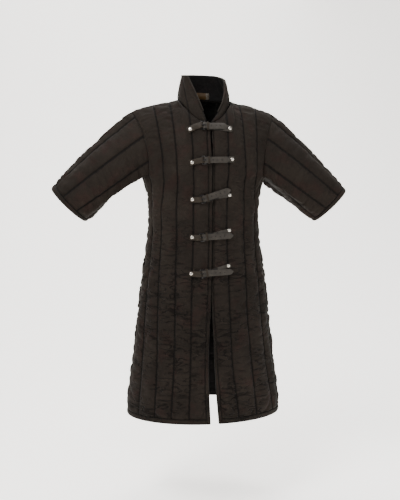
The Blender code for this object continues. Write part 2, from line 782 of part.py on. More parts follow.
def label():
    """The bare woven label sewn inside the back of the collar."""
    half_width = 0.0255
    low, high = 0.05, 0.30
    cells = 6
    back = COLLAR[:, collar_middle - 6:collar_middle + 7]
    normal = collar_dirs[:, collar_middle - 6:collar_middle + 7]

    def on_collar(x, v):
        rows = []
        for source in (back, normal):
            f = v * COLLAR_ROWS
            r = int(f)
            line = source[r] + (source[r + 1] - source[r]) * (f - r)
            place = back[r] + (back[r + 1] - back[r]) * (f - r)
            order = np.argsort(place[:, 0])
            rows.append([float(np.interp(x, place[order, 0], line[order, i])) for i in range(3)])
        return np.array(rows[0]), unit(np.array(rows[1]))

    points = []
    for depth in (COLLAR_WALL + 0.0009, COLLAR_WALL + 0.0017):
        for v in (low, high):
            for i in range(cells + 1):
                place, n = on_collar(LABEL_X - half_width + 2 * half_width * i / cells, v)
                thicker = (WALL_AT_JOIN - COLLAR_WALL) * max(0.0, 1.0 - v * COLLAR_ROWS)
                points.append(place - n * (depth + thicker))
    n = cells + 1
    faces = []
    for i in range(cells):
        faces.append([i, i + 1, n + i + 1, n + i])
        faces.append([2 * n + i, 2 * n + i + 1, 3 * n + i + 1, 3 * n + i])
        faces.append([i, i + 1, 2 * n + i + 1, 2 * n + i])
        faces.append([n + i, n + i + 1, 3 * n + i + 1, 3 * n + i])
    faces.append([0, n, 3 * n, 2 * n])
    faces.append([cells, n + cells, 3 * n + cells, 2 * n + cells])
    solid("neck_label", points, faces, paint("woven_label", LABEL, 0.6))


label()


# The straps lie on the fronts, so their points are placed by x, z and height over the channel tops.

def front_lines():
    """Each front column as a curve, by x, with its heights rising."""
    lines = []
    for key in ("right", "left"):
        grid = GRIDS[key]
        for c in range(0, ARM_F + 1):
            lines.append(grid[:, c])
    return lines


FRONT_LINES = front_lines()


def front_y(x, z):
    """Depth of the front's channel tops at x and z."""
    xs = []
    ys = []
    for line in FRONT_LINES:
        if line[-1, 2] < z - 0.004:
            continue
        xs.append(float(np.interp(z, line[:, 2], line[:, 0])))
        ys.append(float(np.interp(z, line[:, 2], line[:, 1])))
    order = np.argsort(xs)
    return float(np.interp(x, np.array(xs)[order], np.array(ys)[order]))


def on_front(x, z, height):
    """The point at a height over the front, a little smoothed so that straps lie in even curves."""
    step = 0.012
    left, right = front_y(x - step, z), front_y(x + step, z)
    under, above = front_y(x, z - step), front_y(x, z + step)
    normal = unit(np.array(((right - left) / (2 * step), -1.0, (above - under) / (2 * step))))
    y = (left + right + under + above) / 4
    return np.array((x, y, z)) + normal * (height + CLEAR)


class Place:
    """Where a fastening sits. Its axes are along to the viewer's right, up, and height over the cloth."""

    def __init__(self, x, z):
        self.x = x
        self.z = z

    def at(self, along, up, height, degrees):
        """The world point of a local one, with the strap's slope in degrees."""
        a = math.radians(degrees)
        x = self.x + along * math.cos(a) - up * math.sin(a)
        z = self.z + along * math.sin(a) + up * math.cos(a)
        return on_front(x, z, height)


def ribbon(name, place, stations, material, holes=()):
    """A strap laid along stations of: along, height of its middle, lean in degrees, slope, half width."""
    points = []
    for along, height, lean, slope, half in stations:
        t = math.radians(lean)
        for layer in (0.5, -0.5):
            for up in (-half, half):
                points.append(place.at(along - math.sin(t) * layer * LEATHER, up,
                                       height + math.cos(t) * layer * LEATHER, slope))
    faces = []
    last = len(stations) - 1
    for i in range(last):
        a = 4 * i
        b = a + 4
        faces.append([a, b, b + 2, a + 2])
        faces.append([a + 1, b + 1, b + 3, a + 3])
        middle = [h for h in holes if stations[i][0] < h < stations[i + 1][0]]
        if i < last // 2 or not middle:
            faces.append([a, a + 1, b + 1, b])
            faces.append([a + 2, a + 3, b + 3, b + 2])
            continue
        s0, h0, _, slope, half = stations[i]
        s1, h1 = stations[i + 1][:2]
        ring = []
        for k in range(8):
            t = 2 * math.pi * (k + 0.5) / 8
            s = middle[0] + HOLE_R * math.cos(t)
            ring.append((s, HOLE_R * math.sin(t), h0 + (h1 - h0) * (s - s0) / (s1 - s0)))
        flat = [(s0, -half, 0.0), (s1, -half, 0.0), (s1, half, 0.0), (s0, half, 0.0)]
        corners = [[a, b, b + 1, a + 1], [a + 2, b + 2, b + 3, a + 3]]
        starts = []
        for layer in (0.5, -0.5):
            starts.append(len(points))
            points += [place.at(s, up, h + layer * LEATHER, slope) for s, up, h in ring]
        cells = tessellate_polygon([flat, [(s, up, 0.0) for s, up, h in ring]])
        for corner, start in zip(corners, starts):
            index = corner + [start + k for k in range(8)]
            faces += [[index[v] for v in cell] for cell in cells]
        for k in range(8):
            n = (k + 1) % 8
            faces.append([starts[0] + k, starts[0] + n, starts[1] + n, starts[1] + k])
    faces.append([0, 1, 3, 2])
    end = 4 * last
    faces.append([end, end + 1, end + 3, end + 2])
    return solid(name, points, faces, material)


UNDER = LEATHER / 2
BAR_LOW = LEATHER + 0.0007
BAR_MID = BAR_LOW + WIRE / 2
TURN = BAR_MID - UNDER
OVER = BAR_MID + TURN
STACKED = 1.5 * LEATHER + LIE
FOLD_AT = 0.0026
LEFT_FOLD_AT = -0.0060


def fold(centre, way, slope_from, slope_to, half):
    """Stations of a strap's turn round a buckle bar. Way is -1 for a turn on the left, 1 on the right."""
    out = []
    for degrees in (0, 45, 90, 135, 180):
        t = math.radians(degrees)
        along = centre + way * TURN * math.sin(t)
        height = BAR_MID - TURN * math.cos(t)
        slope = slope_from + (slope_to - slope_from) * degrees / 180
        out.append((along, height, degrees if way > 0 else 180 - degrees, slope, half))
    return out


def pulled(s, length, seat):
    """How far a rivet at this length pulls the leather down at a station."""
    return seat * min(1.0, max(0.0, (abs(s) - length + 0.022) / 0.016))


def strap_stations(under_len, under, over_len, over, holes, seat):
    """The long strap: from beyond its rivet, back under the buckle bar, round it and on to the tip."""

    def lower_half(s):
        # Where the two layers lie apart, the lower one is cut narrow from the keeper to the rivet.
        if abs(over - under) < LAYERS_APART:
            return STRAP_HALF
        return STRAP_HALF + (LOWER_HALF - STRAP_HALF) * min(1.0, max(0.0, (s - 0.024) / 0.014))

    out = [(under_len + 0.0085, UNDER - seat, 180, under, min(0.0070, lower_half(under_len)))]
    for s in np.linspace(under_len + 0.0050, 0.0090, 7):
        out.append((s, UNDER - pulled(s, under_len, seat), 180, under, lower_half(s)))
    out += fold(FOLD_AT, -1, under, over, STRAP_HALF)
    for s, h in ((0.0075, OVER), (0.0115, OVER - 0.0012), (0.0155, STACKED + 0.0004), (0.0200, STACKED)):
        out.append((s, h, 0, over, STRAP_HALF))
    for h in holes:
        out.append((h - 0.0050, STACKED, 0, over, STRAP_HALF))
        out.append((h + 0.0050, STACKED, 0, over, STRAP_HALF))
    out.append((over_len - 0.0110, STACKED, 0, over, STRAP_HALF))
    out.append((over_len - 0.0050, STACKED, 0, over, 0.0062))
    out.append((over_len, STACKED, 0, over, 0.0012))
    return out


def chape_stations(length, slope, buckle_slope, seat):
    """The short buckle strap: from its rivet under the buckle's left bar, round it and back on top."""

    def turned(s):
        part = min(1.0, max(0.0, (-s - 0.008) / (length - 0.008)))
        return buckle_slope + (slope - buckle_slope) * part ** 0.7

    out = []
    for s in np.linspace(-length - 0.0075, -0.0120, 4):
        out.append((s, UNDER - pulled(s, length, seat), 0, turned(s), CHAPE_HALF))
    out += fold(LEFT_FOLD_AT, 1, buckle_slope, buckle_slope, CHAPE_HALF)
    for s, h in ((-0.0098, OVER), (-0.0150, STACKED + 0.0006)):
        out.append((s, h, 180, turned(s), CHAPE_HALF))
    for s in np.linspace(-0.0200, -length - 0.0070, 4):
        out.append((s, STACKED - pulled(s, length, seat), 180, turned(s), CHAPE_HALF))
    return out


def box_ring(name, place, slope, outer, inner, heights, material):
    """A flat frame with a window, in the plane of the cloth."""
    points = []
    for height in heights:
        for s0, s1, half in (outer, inner):
            points += [place.at(s, up, height, slope) for s, up in
                       ((s0, -half), (s1, -half), (s1, half), (s0, half))]
    faces = []
    for k in range(4):
        n = (k + 1) % 4
        faces.append([k, n, 4 + n, 4 + k])
        faces.append([8 + k, 8 + n, 12 + n, 12 + k])
        faces.append([k, n, 8 + n, 8 + k])
        faces.append([4 + k, 4 + n, 12 + n, 12 + k])
    return solid(name, points, faces, material)


def keeper(name, place, slope, half, material):
    """The loop that holds both layers of the strap together."""
    s0, s1 = 0.0125, 0.0185
    thick = 0.0011
    low, high = -0.0002, 0.0062
    points = []
    for s in (s0, s1):
        for grow in (0.0, thick):
            for up, h in ((-half - grow, low - grow), (half + grow, low - grow),
                          (half + grow, high + grow), (-half - grow, high + grow)):
                points.append(place.at(s, up, h, slope))
    faces = []
    for k in range(4):
        n = (k + 1) % 4
        faces.append([k, n, 4 + n, 4 + k])
        faces.append([8 + k, 8 + n, 12 + n, 12 + k])
        faces.append([k, n, 8 + n, 8 + k])
        faces.append([4 + k, 4 + n, 12 + n, 12 + k])
    return solid(name, points, faces, material)


def tongue(name, place, slope, material):
    """The buckle's tongue, from the bar across the strap."""
    stations = ((-0.0068, 0.0011, 0.0014), (-0.0030, 0.0012, 0.0009), (0.0035, 0.0011, 0.0009),
                (0.0080, 0.0008, 0.0005))
    points = []
    for s, half, thick in stations:
        low = OVER + LEATHER / 2 + LIE
        for up, h in ((-half, low), (half, low), (half, low + 2 * thick), (-half, low + 2 * thick)):
            points.append(place.at(s, up, h, slope))
    faces = [[0, 1, 2, 3], [12, 13, 14, 15]]
    for i in range(3):
        for k in range(4):
            n = (k + 1) % 4
            faces.append([4 * i + k, 4 * i + n, 4 * i + 4 + n, 4 * i + 4 + k])
    return solid(name, points, faces, material)


def rivet(name, place, along, slope, height, material):
    """A domed rivet head."""
    around = 10
    points = []
    for radius, rise in ((0.90, 0.0), (1.0, 0.22), (0.72, 0.75)):
        for k in range(around):
            t = 2 * math.pi * k / around
            s = along + radius * RIVET_R * math.cos(t)
            up = radius * RIVET_R * math.sin(t)
            points.append(place.at(s, up, height + rise * RIVET_RISE, slope))
    points.append(place.at(along, 0.0, height + RIVET_RISE, slope))
    faces = [list(range(around))]
    for ring in range(2):
        for k in range(around):
            n = (k + 1) % around
            a = ring * around
            faces.append([a + k, a + n, a + around + n, a + around + k])
    for k in range(around):
        faces.append([2 * around + k, 2 * around + (k + 1) % around, 3 * around])
    return solid(name, points, faces, material)


for number, row in enumerate(STRAPS, start=1):
    x, z, chape_len, chape_slope, under_len, under, over_len, over, first_hole, hole_count, seat = row
    place = Place(x, z)
    word = "_" + str(number)
    mean = (under + over) / 2
    holes = [first_hole + HOLE_PITCH * i for i in range(hole_count)]
    holes = [spot for spot in holes if spot < over_len - 0.016]
    ribbon("strap" + word, place, strap_stations(under_len, under, over_len, over, holes, seat),
           paint("strap_leather" + word, LEATHER_COLOUR, 0.5), holes)
    ribbon("chape" + word, place, chape_stations(chape_len, chape_slope, mean, seat),
           paint("chape_leather" + word, CHAPE_COLOUR, 0.55))
    box_ring("buckle" + word, place, mean, (-0.0075, 0.0068, FRAME_HALF), (-0.0051, 0.0042, WINDOW_HALF),
             (BAR_LOW, BAR_LOW + WIRE), paint("black_buckle" + word, BLACK_STEEL, 0.35, 1.0))
    tongue("tongue" + word, place, over, paint("black_tongue" + word, BLACK_STEEL, 0.35, 1.0))
    half = STRAP_HALF + 0.0007 + 0.0185 * math.tan(math.radians(abs(over - under)) / 2)
    keeper("keeper" + word, place, mean, half, paint("keeper_leather" + word, CHAPE_COLOUR, 0.55))
    rivet("rivet_chape" + word, place, -chape_len, chape_slope, 2 * LEATHER + 2 * LIE - seat,
          paint("nickel_chape" + word, NICKEL, 0.25, 1.0))
    rivet("rivet_strap" + word, place, under_len, under, LEATHER + LIE - seat,
          paint("nickel_strap" + word, NICKEL, 0.25, 1.0))
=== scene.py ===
"""A quilted knee length arming coat with half sleeves, a stand collar and five buckled straps."""
import math

import bmesh
import bpy
import numpy as np
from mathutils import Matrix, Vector, noise
from mathutils.bvhtree import BVHTree


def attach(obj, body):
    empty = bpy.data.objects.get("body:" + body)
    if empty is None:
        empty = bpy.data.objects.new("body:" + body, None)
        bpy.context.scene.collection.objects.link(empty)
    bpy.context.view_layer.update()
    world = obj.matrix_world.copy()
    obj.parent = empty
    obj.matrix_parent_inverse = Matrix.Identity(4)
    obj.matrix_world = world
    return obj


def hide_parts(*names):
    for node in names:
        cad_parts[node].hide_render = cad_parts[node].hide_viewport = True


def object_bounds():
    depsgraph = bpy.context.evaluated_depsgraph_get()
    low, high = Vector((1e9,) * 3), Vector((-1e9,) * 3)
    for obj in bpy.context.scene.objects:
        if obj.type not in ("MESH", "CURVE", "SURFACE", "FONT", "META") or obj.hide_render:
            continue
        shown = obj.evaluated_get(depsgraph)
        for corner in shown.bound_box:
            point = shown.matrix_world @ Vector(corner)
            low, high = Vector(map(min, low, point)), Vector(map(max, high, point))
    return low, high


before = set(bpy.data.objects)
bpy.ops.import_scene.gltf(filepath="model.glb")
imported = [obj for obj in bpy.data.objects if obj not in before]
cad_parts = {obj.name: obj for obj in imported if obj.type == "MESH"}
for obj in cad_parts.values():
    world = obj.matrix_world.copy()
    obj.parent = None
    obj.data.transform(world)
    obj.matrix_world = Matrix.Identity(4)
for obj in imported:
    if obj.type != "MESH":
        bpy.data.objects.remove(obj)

cad_low, cad_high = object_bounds()

# The view. The coat hangs filled out before a pale ground, which gives off some light, to come near the white
# of the photo. The camera stands a little to the viewer's left of it, at the height of its waist, and looks
# slightly down. Soft light comes from above and from both sides.
camera_distance = 2.40
camera_turn = math.radians(-10.0)
camera_height = -0.400
aim = Vector((-0.012, 0.0, -0.514))
light_aim = Vector((0, 0, -0.5))
paper_size = 9.0                        # half the ground's width, and the height of the wall behind
paper_bend = 3.0
paper_forward = 5.5
paper_below = 0.30                      # the ground lies this far under the hem
on_edge = 0.1                           # within this of an edge counts as on it


def look_at(thing, target):
    """Turns a camera or lamp to a point and puts it in the scene."""
    thing.rotation_euler = (target - thing.location).to_track_quat("-Z", "Y").to_euler()
    bpy.context.scene.collection.objects.link(thing)


def add_object(name, work):
    """A smooth shaded object from a working mesh, which is then freed."""
    mesh = bpy.data.meshes.new(name)
    work.to_mesh(mesh)
    work.free()
    mesh.polygons.foreach_set("use_smooth", [True] * len(mesh.polygons))
    piece = bpy.data.objects.new(name, mesh)
    bpy.context.scene.collection.objects.link(piece)
    return piece


def new_material(name, settings):
    """A material with its plain settings, its node tree and its shader."""
    material = bpy.data.materials.new(name)
    material.use_nodes = True
    shader = material.node_tree.nodes["Principled BSDF"]
    for word, value in settings.items():
        shader.inputs[word].default_value = value
    return material, material.node_tree, shader


camera_data = bpy.data.cameras.new("camera")
camera_data.lens = 50.0
camera_data.sensor_width = 36.0
camera = bpy.data.objects.new("camera", camera_data)
camera.location = (camera_distance * math.sin(camera_turn), -camera_distance * math.cos(camera_turn),
                   camera_height)
look_at(camera, aim)
bpy.context.scene.camera = camera

work = bmesh.new()
bmesh.ops.create_grid(work, x_segments=1, y_segments=1, size=paper_size)
back_edge = [e for e in work.edges if all(v.co.y > paper_size - on_edge for v in e.verts)]
wall = bmesh.ops.extrude_edge_only(work, edges=back_edge)
raised = [v for v in wall["geom"] if isinstance(v, bmesh.types.BMVert)]
bmesh.ops.translate(work, verts=raised, vec=(0, 0, paper_size))
bent = [e for e in work.edges
        if all(abs(v.co.z) < on_edge and v.co.y > paper_size - on_edge for v in e.verts)]
bmesh.ops.bevel(work, geom=bent, affect="EDGES", offset=paper_bend, segments=16, profile=0.5, material=-1)
bmesh.ops.translate(work, verts=work.verts, vec=(0, -paper_forward, cad_low.z - paper_below))
bmesh.ops.recalc_face_normals(work, faces=work.faces)
floor = add_object("floor", work)
floor.data.materials.append(new_material("floor", {
    "Base Color": (0.92, 0.90, 0.865, 1), "Roughness": 0.9,
    "Emission Color": (1.0, 0.965, 0.92, 1), "Emission Strength": 1.00})[0])

world = bpy.data.worlds.new("studio")
world.use_nodes = True
world.node_tree.nodes["Background"].inputs["Color"].default_value = (0.95, 0.97, 1.0, 1)
world.node_tree.nodes["Background"].inputs["Strength"].default_value = 0.62
bpy.context.scene.world = world
lights = (
    ("key", (-1.5, -1.5, 2.0), 1.3, 150.0),
    ("fill", (2.2, -1.6, 0.3), 1.8, 32.0),
    ("top", (0.3, 0.6, 2.2), 1.2, 60.0),
    ("ground", (0.0, 2.6, 2.4), 3.0, 120.0),
)
for light_name, place, size, power in lights:
    lamp = bpy.data.lights.new(light_name, "AREA")
    lamp.size = size
    lamp.energy = power
    lamp_object = bpy.data.objects.new(light_name, lamp)
    lamp_object.location = place
    look_at(lamp_object, light_aim)


# The body: two fronts and a whole back in brushed dark cotton over cotton padding, with a black lining.
# The layers are stitched together in upright channels, and each channel puckers between its two lines.
hem_z = -1.070
underarm_z = -0.262
hem_strip = 0.017
opening = np.array((                    # height, x of the two edges, widths of the two bound strips
    (-1.070, -0.0078, 0.0188, 0.0140, 0.0100), (-0.980, -0.0113, 0.0115, 0.0140, 0.0120),
    (-0.918, -0.0118, 0.0087, 0.0130, 0.0090), (-0.870, -0.0113, 0.0070, 0.0125, 0.0080),
    (-0.804, -0.0090, 0.0060, 0.0120, 0.0068), (-0.721, -0.0033, 0.0022, 0.0140, 0.0055),
    (-0.660, 0.0012, 0.0018, 0.0135, 0.0045), (-0.597, 0.00275, 0.00325, 0.0125, 0.0040),
    (-0.530, 0.00575, 0.00625, 0.0130, 0.0040), (-0.400, 0.00955, 0.01005, 0.0140, 0.0040),
    (-0.250, 0.00895, 0.00945, 0.0150, 0.0040), (0.000, 0.00795, 0.00845, 0.0150, 0.0040)))
neck_half = 0.092
neck_front_y, neck_front_drop = 0.100, 0.088
neck_back_y, neck_back_rise = 0.075, 0.010
neck_line_angle = 41.5
shoulder_lines = (0.121, 0.176, 0.253)
torso = np.array((                      # height, half width, half depth, squareness
    (-1.070, 0.2680, 0.190, 2.00), (-1.018, 0.2640, 0.187, 2.00), (-0.938, 0.2540, 0.180, 2.00),
    (-0.866, 0.2455, 0.173, 2.00), (-0.766, 0.2325, 0.165, 2.05), (-0.660, 0.2210, 0.156, 2.10),
    (-0.566, 0.2095, 0.147, 2.15), (-0.510, 0.1995, 0.142, 2.20), (-0.445, 0.1910, 0.135, 2.25),
    (-0.397, 0.1890, 0.131, 2.30), (-0.359, 0.1915, 0.130, 2.35), (-0.317, 0.1950, 0.130, 2.40),
    (-0.283, 0.2035, 0.131, 2.45), (-0.262, 0.2140, 0.132, 2.50)))
quilt_lines = {                         # height, then the four lines' angles from the middle of the panel
    "right": np.array((
        (-1.070, 17.2, 30.5, 44.2, 61.8), (-0.882, 16.8, 30.0, 45.4, 63.6), (-0.717, 17.1, 31.3, 49.5, 67.8),
        (-0.530, 17.1, 33.6, 53.3, 70.3), (-0.380, 17.0, 35.8, 56.7, 76.0),
        (-0.262, 14.9, 30.4, 45.2, 67.6))),
    "left": np.array((
        (-1.070, 19.5, 35.2, 57.5, 71.5), (-0.882, 15.6, 34.0, 52.4, 69.9), (-0.717, 15.7, 33.1, 52.7, 71.5),
        (-0.530, 15.9, 36.1, 54.4, 73.5), (-0.380, 17.4, 39.2, 61.0, 77.5),
        (-0.262, 16.7, 35.3, 51.4, 67.6))),
    "back": np.array((
        (-1.070, 19.0, 34.5, 51.0, 67.0), (-0.760, 18.7, 36.0, 55.0, 72.5),
        (-0.390, 18.3, 37.0, 57.5, 76.5), (-0.262, 15.4, 31.0, 47.6, 67.6))),
}
shoulder = np.array(((0.092, 0.000), (0.121, -0.007), (0.176, -0.018), (0.232, -0.035), (0.253, -0.047)))
channel_steps = 12                      # mesh columns across one channel
row_step = 0.0042
wall_thickness = 0.0042
seam_dip = 0.0050
join_dip = 0.0044
bound_dip = 0.0034
swell_room = 0.0012                     # the channels may stand this far over the form
hem_tuck, hem_sink = 0.0040, 0.0020     # how far a panel's hem runs on under its strip, and how deep
edge_tuck = 0.0030                      # how far a front runs on under the strip of its opening
crease_ends = 0.12                      # the share of a sine's half wave that a crease leaves out at each end
fine_fold, wide_fold = 0.017, 0.040     # lengths of the cross folds
fold_drift, fold_amount = 0.16, 0.11    # lengths over which their height and number change
arm_place = 4.0                         # the place where the shoulder ends and the armhole begins
waist_z, skirt_reach = -0.35, 0.25      # the cross folds grow over this reach below the waist
chest_folds, side_folds = 0.26, 0.45    # how strong they are on the chest, and how much more at the sides
side_place = 3.4
border_swell, border_folds = 0.3, 0.25  # how much swell and cross folds are left at a border
line_press = 0.35                       # how much of a pressed crease is left on a stitched line
padding_room = 0.0022                   # how far the padding may move the cloth
settle_frames = 14


def clamp(value):
    """The value held between 0 and 1."""
    return min(1.0, max(0.0, value))


def swelling(u, power=0.5):
    """How far a channel stands out at u, which runs from 0 at one stitched line to 1 at the next."""
    return max(0.0, math.sin(math.pi * u)) ** power


def eased(least, share):
    """A strength that rises from least to 1 with the share."""
    return least + (1 - least) * share


def at_height(table, z):
    """A table's values at one height, eased over its corners."""
    reach = 0.018 * min(1.0, (underarm_z - z) / 0.05, (z - hem_z) / 0.05)
    return [float(np.mean([np.interp(z + d * reach, table[:, 0], table[:, i]) for d in (-1, 0, 1)]))
            for i in range(1, table.shape[1])]


def front_edges(side, z):
    """The opening edge of a front and its bound strip's other edge, measured toward its own side."""
    reach = 0.0 if abs(z) < 0.02 else 0.012 * min(1.0, (z - hem_z) / 0.05)
    values = np.mean([[float(np.interp(z + d * reach, opening[:, 0], opening[:, i])) for i in range(1, 5)]
                      for d in (-1, 0, 1)], axis=0)
    edge = side * values[0 if side < 0 else 1]
    return edge, edge + values[2 if side < 0 else 3]


def body_row(side, front, z, places):
    """Points of the body at one height. A place is 0 at the strip or the middle back, 5 at the side seam."""
    half, deep, square = at_height(torso, z)
    key = ("right" if side < 0 else "left") if front else "back"
    angles = [math.radians(a) for a in at_height(quilt_lines[key], z)]
    edge, inner_edge = front_edges(side, z)
    start = math.asin(inner_edge / half) if front else 0.0
    stops = [start] + angles + [math.pi / 2]
    spots = list(range(6))
    if front:
        stops = [math.asin(edge / half)] + stops
        spots = [-1] + spots
    out = []
    for place in places:
        across = math.sin(float(np.interp(place, spots, stops)))
        y = deep * max(0.0, 1.0 - abs(across) ** square) ** (1.0 / square)
        out.append((half * across, -y if front else y, z))
    return np.array(out)


def neck_point(angle, front):
    """A point of the neckline by its angle from the middle of the front or back."""
    c = math.cos(angle)
    if front:
        return np.array((neck_half * math.sin(angle), -neck_front_y * c, -neck_front_drop * c * c))
    return np.array((neck_half * math.sin(angle), neck_back_y * c, neck_back_rise * c * c))


def body_top(side, front, place):
    """The top point of a column, on the neckline or the shoulder, and its neckline angle."""
    line = math.radians(neck_line_angle)
    edge, start = (math.asin(e / neck_half) if front else 0.0 for e in front_edges(side, 0.0))
    if place <= 1.5:
        angle = float(np.interp(place, (-1, 0, 1, 1.5), (edge, start, line, math.pi / 2)))
        return neck_point(angle, front), angle
    x = float(np.interp(place, (1.5, 2, 3, 4), (neck_half,) + shoulder_lines))
    return np.array((x, 0.0, float(np.interp(x, shoulder[:, 0], shoulder[:, 1])))), math.pi / 2


def body_form(side, front, places, heights, upper):
    """The body's smooth form: rows at the given heights, then rows at steps from the underarm to the top."""
    rows = [body_row(side, front, z, places) for z in heights]
    base = body_row(side, front, underarm_z, places)
    tops = [body_top(side, front, min(p, arm_place)) for p in places]
    way = -1.0 if front else 1.0
    for v in upper:
        row = np.full((len(places), 3), np.nan)
        for k, (place, (top, angle)) in enumerate(zip(places, tops)):
            if place > arm_place + 1e-4:
                continue
            p0 = base[k]
            pull = max(0.0, place - 3.0) ** 1.5
            c, s = math.cos(angle), math.sin(angle)
            p1 = p0 + np.array((-0.006 * pull, way * 0.022 * pull, 0.40 * (top[2] - p0[2])))
            p2 = top + np.array((-0.028 * pull, way * (0.058 * s + 0.012 * c),
                                 -0.012 * s - 0.050 * c - 0.020 * pull))
            w = 1.0 - v
            row[k] = w ** 3 * p0 + 3 * w * w * v * p1 + 3 * w * v * v * p2 + v ** 3 * top
        rows.append(row)
    out = np.array(rows)
    out[..., 0] *= side
    return out


def unit(v):
    """The vectors at length one."""
    return v / np.maximum(np.linalg.norm(v, axis=-1, keepdims=True), 1e-12)


def from_axis(form):
    """The level directions from the upright axis through each point of a form."""
    return np.stack((form[..., 0], form[..., 1], np.zeros(form.shape[:2])), axis=-1)


def running_length(points):
    """The length along a line of points, from 0 at its start."""
    return np.concatenate(((0.0,), np.cumsum(np.linalg.norm(np.diff(points, axis=0), axis=1))))


def form_normals(form, outward, wrap=False):
    """Normals of a form, turned to agree with the rough outward directions."""
    grid = np.concatenate((form, form[:, :1]), axis=1) if wrap else form
    cell = np.nan_to_num(np.cross(grid[1:, 1:] - grid[:-1, :-1], grid[1:, :-1] - grid[:-1, 1:]))
    total = np.zeros(grid.shape)
    for r in (0, 1):
        for c in (0, 1):
            total[r:r + cell.shape[0], c:c + cell.shape[1]] += cell
    if wrap:
        total[:, 0] += total[:, -1]
        total = total[:, :-1]
    total = unit(total)
    return -total if float(np.nansum(total * outward)) < 0 else total


def pucker(channel, u, along, strength):
    """Uneven cross folds of a quilted channel: soft swells with sharp hollows between them, in metres."""
    lean = along + 0.010 * math.sin(channel * 2.3 + along * 9.0) * (u - 0.5)
    fine = abs(noise.noise((channel * 3.71, u * 1.1, lean / fine_fold)))
    wide = abs(noise.noise((channel * 5.13 + 40.0, u * 0.8, lean / wide_fold)))
    drift = noise.noise((channel * 2.17, 11.0, along / fold_drift))
    amount = 0.65 + 0.8 * max(0.0, noise.noise((channel * 1.31, 3.0, along / fold_amount)) + 0.15)
    fine, wide = min(fine, 0.30), min(wide, 0.34)
    return strength * amount * (0.0095 * fine + 0.0100 * wide + 0.0008 * drift - 0.0046)


def pressed(point, creases):
    """How deep the long pressed creases are at a point."""
    deep = 0.0
    for x0, z0, x1, z1, depth, half in creases:
        ax, az = x1 - x0, z1 - z0
        px, pz = point[0] - x0, point[2] - z0
        t = clamp((px * ax + pz * az) / (ax * ax + az * az))
        away = math.hypot(px - t * ax, pz - t * az) / half
        along = crease_ends + (1 - 2 * crease_ends) * t
        deep = max(deep, depth * math.exp(-away * away) * math.sin(math.pi * along))
    return deep


def grid_piece(node, form, normals, surface_uv, wrap=False):
    """A sheet of quads over a form, facing outward, made from a flat grid whose points are put in place."""
    rows, cols = form.shape[:2]
    across = cols if wrap else cols - 1
    work = bmesh.new()
    uv_layer = work.loops.layers.uv.new("cut")
    bmesh.ops.create_grid(work, x_segments=across, y_segments=rows - 1, size=1.0)
    spot = {}
    for v in work.verts:
        spot[v] = (round((v.co.y + 1) / 2 * (rows - 1)), round((v.co.x + 1) / 2 * across))
    for face in work.faces:
        for loop in face.loops:
            loop[uv_layer].uv = surface_uv(*spot[loop.vert])
    missing = []
    for v, (r, c) in spot.items():
        if math.isnan(form[r, c % cols, 0]):
            missing.append(v)
        else:
            v.co = form[r, c % cols]
    bmesh.ops.delete(work, geom=missing, context="VERTS")
    facing = 0.0
    for face in work.faces:
        r, c = spot[face.verts[0]]
        face.normal_update()
        facing += face.normal.dot(Vector(normals[r, c % cols]))
    if facing < 0:
        bmesh.ops.reverse_faces(work, faces=work.faces)
    if wrap:
        bmesh.ops.remove_doubles(work, verts=work.verts, dist=1e-5)
    return add_object(node + "_cloth", work)


def sewn_points(piece):
    """The points of a quilted sheet that are on a stitched line or an edge."""
    layer = piece.data.uv_layers["cut"].data
    sewn = set()
    counts = {}
    for face in piece.data.polygons:
        for key in face.edge_keys:
            counts[key] = counts.get(key, 0) + 1
        for loop, vertex in zip(face.loop_indices, face.vertices):
            place = layer[loop].uv[0]
            if abs(place - round(place)) < 0.5 / channel_steps:
                sewn.add(vertex)
    for key, count in counts.items():
        if count == 1:
            sewn.update(key)
    return sorted(sewn)


def settle(piece, room):
    """Lets the padding swell the cloth, which is cut a little long for it, between its stitched lines."""
    start = np.array([v.co for v in piece.data.vertices])
    group = piece.vertex_groups.new(name="sewn")
    group.add(sewn_points(piece), 1.0, "REPLACE")
    cloth = piece.modifiers.new("cloth", "CLOTH")
    settings = cloth.settings
    settings.quality = 4
    settings.mass = 0.15
    settings.tension_stiffness = 12
    settings.compression_stiffness = 8
    settings.shear_stiffness = 4
    settings.bending_stiffness = 0.02
    settings.shrink_min = -0.055
    settings.use_pressure = True
    settings.uniform_pressure_force = 0.9
    settings.vertex_group_mass = "sewn"
    settings.pin_stiffness = 4.0
    settings.effector_weights.gravity = 0.0
    cloth.collision_settings.use_self_collision = False
    cloth.point_cache.frame_start = 1
    cloth.point_cache.frame_end = settle_frames
    scene = bpy.context.scene
    for step in range(1, settle_frames + 1):
        scene.frame_set(step)
    evaluated = piece.evaluated_get(bpy.context.evaluated_depsgraph_get())
    end = np.array([v.co for v in evaluated.data.vertices])
    piece.modifiers.remove(cloth)
    piece.vertex_groups.remove(group)
    scene.frame_set(1)
    if end.shape != start.shape or not np.isfinite(end).all():
        return
    move = end - start
    length = np.maximum(np.linalg.norm(move, axis=1, keepdims=True), 1e-9)
    move *= room * np.tanh(length / room) / length
    piece.data.vertices.foreach_set("co", (start + move).ravel())
    piece.data.update()


def new_group(name, inputs, outputs):
    """An empty shader node group with its sockets."""
    group = bpy.data.node_groups.new(name, "ShaderNodeTree")
    for word, kind, value in inputs:
        socket = group.interface.new_socket(word, in_out="INPUT", socket_type=kind)
        socket.default_value = value
    for word, kind in outputs:
        group.interface.new_socket(word, in_out="OUTPUT", socket_type=kind)
    return group, group.nodes.new("NodeGroupInput"), group.nodes.new("NodeGroupOutput")


def put(tree, kind, *links, **values):
    """A node with its settings, and its inputs linked or set by (input, source or value)."""
    made = tree.nodes.new("ShaderNode" + kind)
    for key, value in values.items():
        setattr(made, key, value)
    for key, source in links:
        if isinstance(source, bpy.types.NodeSocket):
            tree.links.new(source, made.inputs[key])
        else:
            made.inputs[key].default_value = source
    return made


